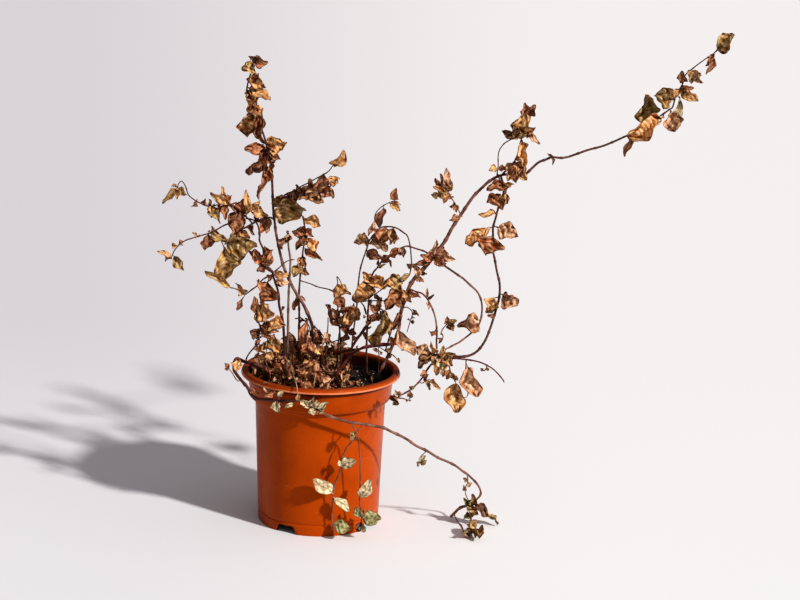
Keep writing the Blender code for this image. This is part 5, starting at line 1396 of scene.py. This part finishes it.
# %% [markdown]
# ## What trails over the rim
# One long stem crosses the rim at the left, runs across the front of the pot and comes down to
# the table at the right.  Two thin pale shoots hang from it against the pot, with the palest
# leaves of all.

# %% Trailing stems
shoot("stem_trailing", """
    1.2 1.15 stem: -36 121 -12, -44 125 -15, -52 128.5 -19, -60 130.5 -23, -66 132.5 -26, -69 134 -27,
    -71.4 130 -28, -71.3 125 -29, -69.6 121.2 -31, -66.5 117 -34, -62.8 112.6 -37, -59.8 109 -40,
    -57.9 104.6 -41, -55.5 101.6 -42.5, -51.3 99.9 -45, -45.2 99.4 -49, -41 99.2 -51.5, -33 98.8 -55.5,
    -25 98.8 -58.5, -18.3 99 -60, -10 96 -61.5, -3 92.3 -62.2;
    1.1 0.7: -3 92.3 -62.2, 0 90.7 -62.5, 7 86.9 -63, 14.8 84.7 -63, 22.5 82.8 -62.5, 28.6 81.7 -62,
    34.7 81.1 -61.5, 40.9 80.2 -60.5, 47 79.2 -58, 53.2 77.9 -55, 59.4 74.9 -51, 66 72 -47,
    73 68.3 -43.5, 79.8 63.5 -40, 89 59.3 -36, 95 55.6 -33, 99.7 53 -30, 106.3 50.4 -27, 113 47.1 -24,
    118.5 43 -21, 123.2 39.9 -18, 126.6 36.9 -15, 130.7 32.8 -12, 133.5 28.7 -10, 134.9 24.6 -8,
    134.3 21.1 -8, 131.8 18.2 -8, 128.5 13 -9, 126.5 6 -11, 127.5 1 -12, 129 -3 -15, 130 -8.2 -28,
    132 -15.5 -47;
    0.4 0.35: 88.5 59.4 -36, 87.2 57.5 -36.5, 84 53.9 -38, 83.9 49.7 -38, 84.9 46.5 -38;
    0.4 0.35: 123.2 39.6 -18, 123.8 33.4 -19, 122.3 29.2 -19, 122.1 24.3 -19, 123.3 20.1 -17,
    125.5 16.4 -13, 127.6 14.8 -10.5;
    1.0 1.2: 128 13 -9.2, 121 11.5 -8, 117 9.3 -6, 113.8 5.7 -4, 110.5 2 -1.5;
    0.4 0.35: 113.8 5 -4, 114.8 1.2 -3.5, 117.5 -2.8 -9.5, 120.3 -5.6 -17, 121.7 -9.8 -28,
    123.2 -13.3 -37;
    0.4 0.35: -65.5 115.8 -34.8, -67.5 114.5 -36, -70 117 -36.5, -72.4 121 -36.5, -74.7 124.2 -36.5,
    -75.9 126.6 -36.5;
    0.4 0.35: -34.5 99.2 -55, -33.5 97 -56.5, -30 94 -58, -27.5 92.5 -59;
    0.4 0.35: -33 99 -55.5, -36 103 -57, -38.5 108 -55;
    0.4 0.35: -8 95.2 -61.6, -5.5 100 -63, -4.8 105 -62""", """
    -69.8 122 -30.7  -67.5 133.5 -26.5  7 gold; -75.5 126 -36.5  -78.6 129.2 -38  3.4 maroon;
    -75.3 125.5 -36.5  -78.5 124.5 -38  3 dark; -37 100 -55  -35 89.5 -58  7 cream;
    -29 94 -58.4  -22.5 96.5 -60  4 cream; -38 106 -55  -46 102 -57  4 rust;
    -47.5 110.5 -43  -36.5 109.5 -49  5 peach fold=0.6; -59.5 106.5 -39  -50.5 104.5 -43  3 rust;
    -36 102 -56  -30 108 -58  3.5 cream; -20 99 -59.5  -17 105 -61  3.5 gold;
    -12 96.8 -61  -16.5 99.5 -65  5 cream; -14 97.6 -60.7  -9 93 -65  5 cream;
    -8 95 -61.5  -5.5 102 -65  5 cream; -5.5 93.5 -61.5  -3 100 -65  7 cream;
    -3 92.3 -62  -9.5 89 -65  5 cream; -2 92 -62  2.5 89.8 -66  4 cream;
    -2 92 -62.3  6 98 -66  5.5 cream; 84.6 48.5 -38  87.8 54.5 -40  5 cream;
    84 50 -38  82 45.5 -40  3.4 olive; 84.7 47.3 -38  88.8 50.6 -40  3 olive;
    123.7 34.5 -18.8  120 36.2 -21  3.5 olive; 123.6 33 -19  125.3 29 -21  3.4 gold;
    122.2 26 -19  120.5 30 -21  3 rust; 128.8 13.5 -8.9  128.2 22 -14  7 olive;
    127.5 14 -8.9  121.5 18 -13  5 pale_green; 128.5 13 -9  127 2 -16  8 olive;
    128.5 10 -9  133 5 -15  6 maroon; 129.2 14 -8.8  142 4 -13  7 dark;
    132 12 -8.8  139.5 10 -12  5 dark; 128 5 -11  122 1 -15  5 pale_green;
    137.5 7.2 -11.6  149.5 -2.5 -14  7 olive roll=1.3 fold=0.2 bow=0.0;
    138.5 4.2 -12  146 1.5 -13  5 pale_green roll=1.2 fold=0.2 bow=0.0;
    130 -6 -26  134.5 -15 -52  9 olive roll=1.3 fold=0.15 bow=0.05;
    129.7 -4.2 -23  121 -11.6 -48  8 olive roll=1.3 fold=0.15 bow=0.05""",
    tone="stem_pale", tones="olive gold")
shoot("stem_dangling_left", """
    0.5 0.5: 34.6 81.2 -61.6, 34.2 78 -63, 31.5 75 -64, 28.5 71.5 -62, 26.6 65.1 -61, 23.6 61.4 -60.5,
    21 56.5 -60, 19.2 51.6 -59.5, 18 45 -59, 17.5 40.2 -58.5, 16.4 36.2 -58, 14.6 31.3 -57.5,
    13.2 26.4 -57, 12.6 20 -56.5, 12.3 16.2 -56, 11.6 9 -55.5, 11.4 2.9 -55, 11.9 -3.6 -54.5,
    12.4 -9.3 -54, 12.1 -16 -53.5""", """
    28.3 71.5 -62  25.3 66.5 -65  5 olive; 28.5 72 -62  24.5 72.5 -65  3 olive;
    18.2 46.5 -59.1  14.8 45.3 -61  3.5 cream; 18.3 43 -59  29.5 48.5 -63  8 cream pressed;
    14.2 19 -56.4  -3.5 31 -60  9.5 cream pressed; 12.3 16.5 -56  25.5 5.2 -60  6.5 cream pressed;
    12 -7 -54.4  26 -11.5 -58  9 pale_green pressed""", kind="stem_pale", tone="stem_pale")
shoot("stem_dangling_right", """
    0.5 0.5: 27.4 82 -62.2, 27.2 78.5 -63.5, 29.5 75 -64.5, 31.9 70 -62.5, 32.8 61.7 -60.5,
    33.6 54.5 -59.5, 34.2 46.4 -58.5, 34.3 38.3 -57.5, 34.4 30.2 -56.5, 34.4 23.7 -56, 34.3 17.2 -55.5,
    34.4 11.5 -55, 35.7 5.9 -54, 36.8 1.1 -53, 36.3 -3 -52.5, 35.7 -12 -52""", """
    34.5 15.6 -55.4  42.5 31.5 -59  8.5 cream pressed; 36 -1 -52.7  31 8 -56  5.5 pale_green;
    35.8 1 -52.7  37.5 7.5 -56  3.5 olive; 36.5 -2.5 -52.8  51.5 -1.3 -56  11 pale_green pressed;
    36.1 -4 -52.3  33 -13 -54  5 dark; 36.1 -5 -52.3  38.5 -13.5 -54  5 pale_green""",
    kind="stem_pale", tone="stem_pale")
shoot("twig_over_rim", """
    0.5 0.45: -29.5 136.9 -17, -27.7 133 -21, -24.6 128.7 -30, -23.3 122.5 -42, -21.4 117.6 -54,
    -19.8 112.6 -62, -19.1 107.6 -66.5, -18.4 104.2 -67""", kind="stem_pale", tone="stem_straw")
shoot("twig_on_lip", """
    0.45 0.35: -4.4 121.6 -49, -5.0 117 -55, -5.7 111.7 -62""",
    kind="stem_pale", tone="stem_straw", nodes=())
print("grown so far:", grown)

# %% [markdown]
# ## Thin stems between the thick ones
# The middle of the plant is a thicket: red and dark stalks too thin to carry any weight cross
# between the main stems, and hold a few small leaves.  They are made in the same way.

# %% Thicket
shoot("thicket_red", """
    0.95 0.6: 20 134 -19, 27 150 -17, 33 160 -16, 39 169 -16, 46 178 -17;
    0.45 0.4: 25.5 146 -18, 33 158 -20, 40 168 -21, 44 175 -20""", """
    46 178.5 -17  48 188 -20  5 maroon; 45 177 -17  41 169 -20  7 maroon;
    46 179 -17  39 182 -20  5 rust; 46.5 178.5 -17  58 167 -20  8 peach;
    34 161 -16  40 164 -18  2.4 dark; 33 160 -16  36 153.5 -18  3 maroon""",
    tone="stem_red", nodes=(), buds=2)
shoot("thicket_dark", """
    0.6 0.4: 12 124 -4, 13.5 140 -4, 14 155 -5, 16 166 -5;
    0.45 0.4: 13.8 148 -4, 20 156 -2, 22 160 -1, 19 167 -2;
    0.6 0.5: 13.5 140 -4, 24 144 -16, 33 145.5 -17, 45 147.5 -17, 57 149 -18;
    0.45 0.35: 14 152 -5, 6 150 -3, -1 158 2, -6 163 8""", """
    18.5 166 -2  20 156.5 -5  6 maroon; 21.5 160 -1  28 157.5 -4  5 maroon;
    16 166 -5  20 171 -7  4 rust; 21 158 -1  17 151 -5  5 maroon; -4 162 6  1 150 1  6 maroon;
    -2 160 3  -6 148 0  4 rust""", tone="stem_black", nodes=(), buds=3)
shoot("thicket_petioles", """
    0.5 0.4: 27.5 184 4, 36 185.5 -2, 47 186 -12, 52 186 -18;
    0.45 0.4: 30 184.5 2, 42 191 -6, 51 198 -12, 57 203 -17;
    0.35 0.7: 31 184.7 1, 34 181 0, 36 174 -2""", """
    47 186 -12  44 191.5 -15  3 dark; 50 186 -16  56 184 -19  4 maroon; 41 190.5 -6  47 188 -9  3 rust""",
    tone="stem_black", nodes=(), buds=1)
shoot("thicket_right", """
    0.35 0.3: 47 124 -22, 47.3 138 -22, 46 150 -20;
    0.35 0.3: 52 149 -18, 55.5 141 -16, 53 134 -14, 54 127 -12;
    0.35 0.3: 60 149.5 -18, 58 141 -14, 62 137.5 -10;
    0.6 0.5: 57 149 -18, 56 158 -14, 58.5 168 -6, 62 176 6""", """
    58 141 -14  53.5 138.5 -16  3 maroon; 61 138 -10  64 134.5 -12  3 maroon;
    56.2 156 -15  60 150 -17  4 maroon; 58 166 -8  55 158 -12  5 rust""",
    tone="stem_black", nodes=(), buds=2)
shoot("thicket_left", """
    0.45 0.35: -41 116 -30, -43 125 -33, -45.5 133 -34, -45 141 -30;
    0.4 0.35: -52 122 -28, -50 130 -30, -51.5 138 -31, -50.5 147 -31;
    0.4 0.35: -12 118 -25, -11 130 -25, -13 142 -22, -10 150 -18;
    0.5 0.35: -20 120 10, -23 135 8, -25 148 6, -24 156 4;
    0.5 0.4: -4 120 -10, -3 135 -8, -5 150 -2, -8 163 8""", """
    -45 140 -30  -40 134 -33  6 gold; -50.5 146 -31  -46 139 -34  6 gold; -24 156 4  -29 151 0  7 dark;
    -24 155 4  -21 147 0  6 dark; -10.5 149 -18  -6 142 -22  6 rust; -11 148 -19  -16 141 -22  6 rust;
    -17 139 8  -12 166 2  8 rust roll=0.5; -4 145 -5  1 139 -9  5 gold""",
    tone="stem_pale", nodes=(), buds=4)
print("grown so far:", grown)

# %% [markdown]
# ## Hanging the large leaves
# Every stem now has its path, so each large leaf gets a stalk from the stem nearest to its foot.

# %% Large leaves
for entry in hung_leaves:
    reach = hang(*entry)
    print(f"{entry[0]}: stalk {reach / MM:.1f} mm")
print("grown:", grown)

# %% [markdown]
# ## The two boxes
# The box of the solids and the box of the dressed plant are gathered, and the second one is printed.

# %% Size and finish
visual_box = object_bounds()
sizes = {"cad": [list(corner) for corner in cad_box], "visual": [list(corner) for corner in visual_box]}
print("visual box:", [[round(v, 4) for v in corner] for corner in visual_box])
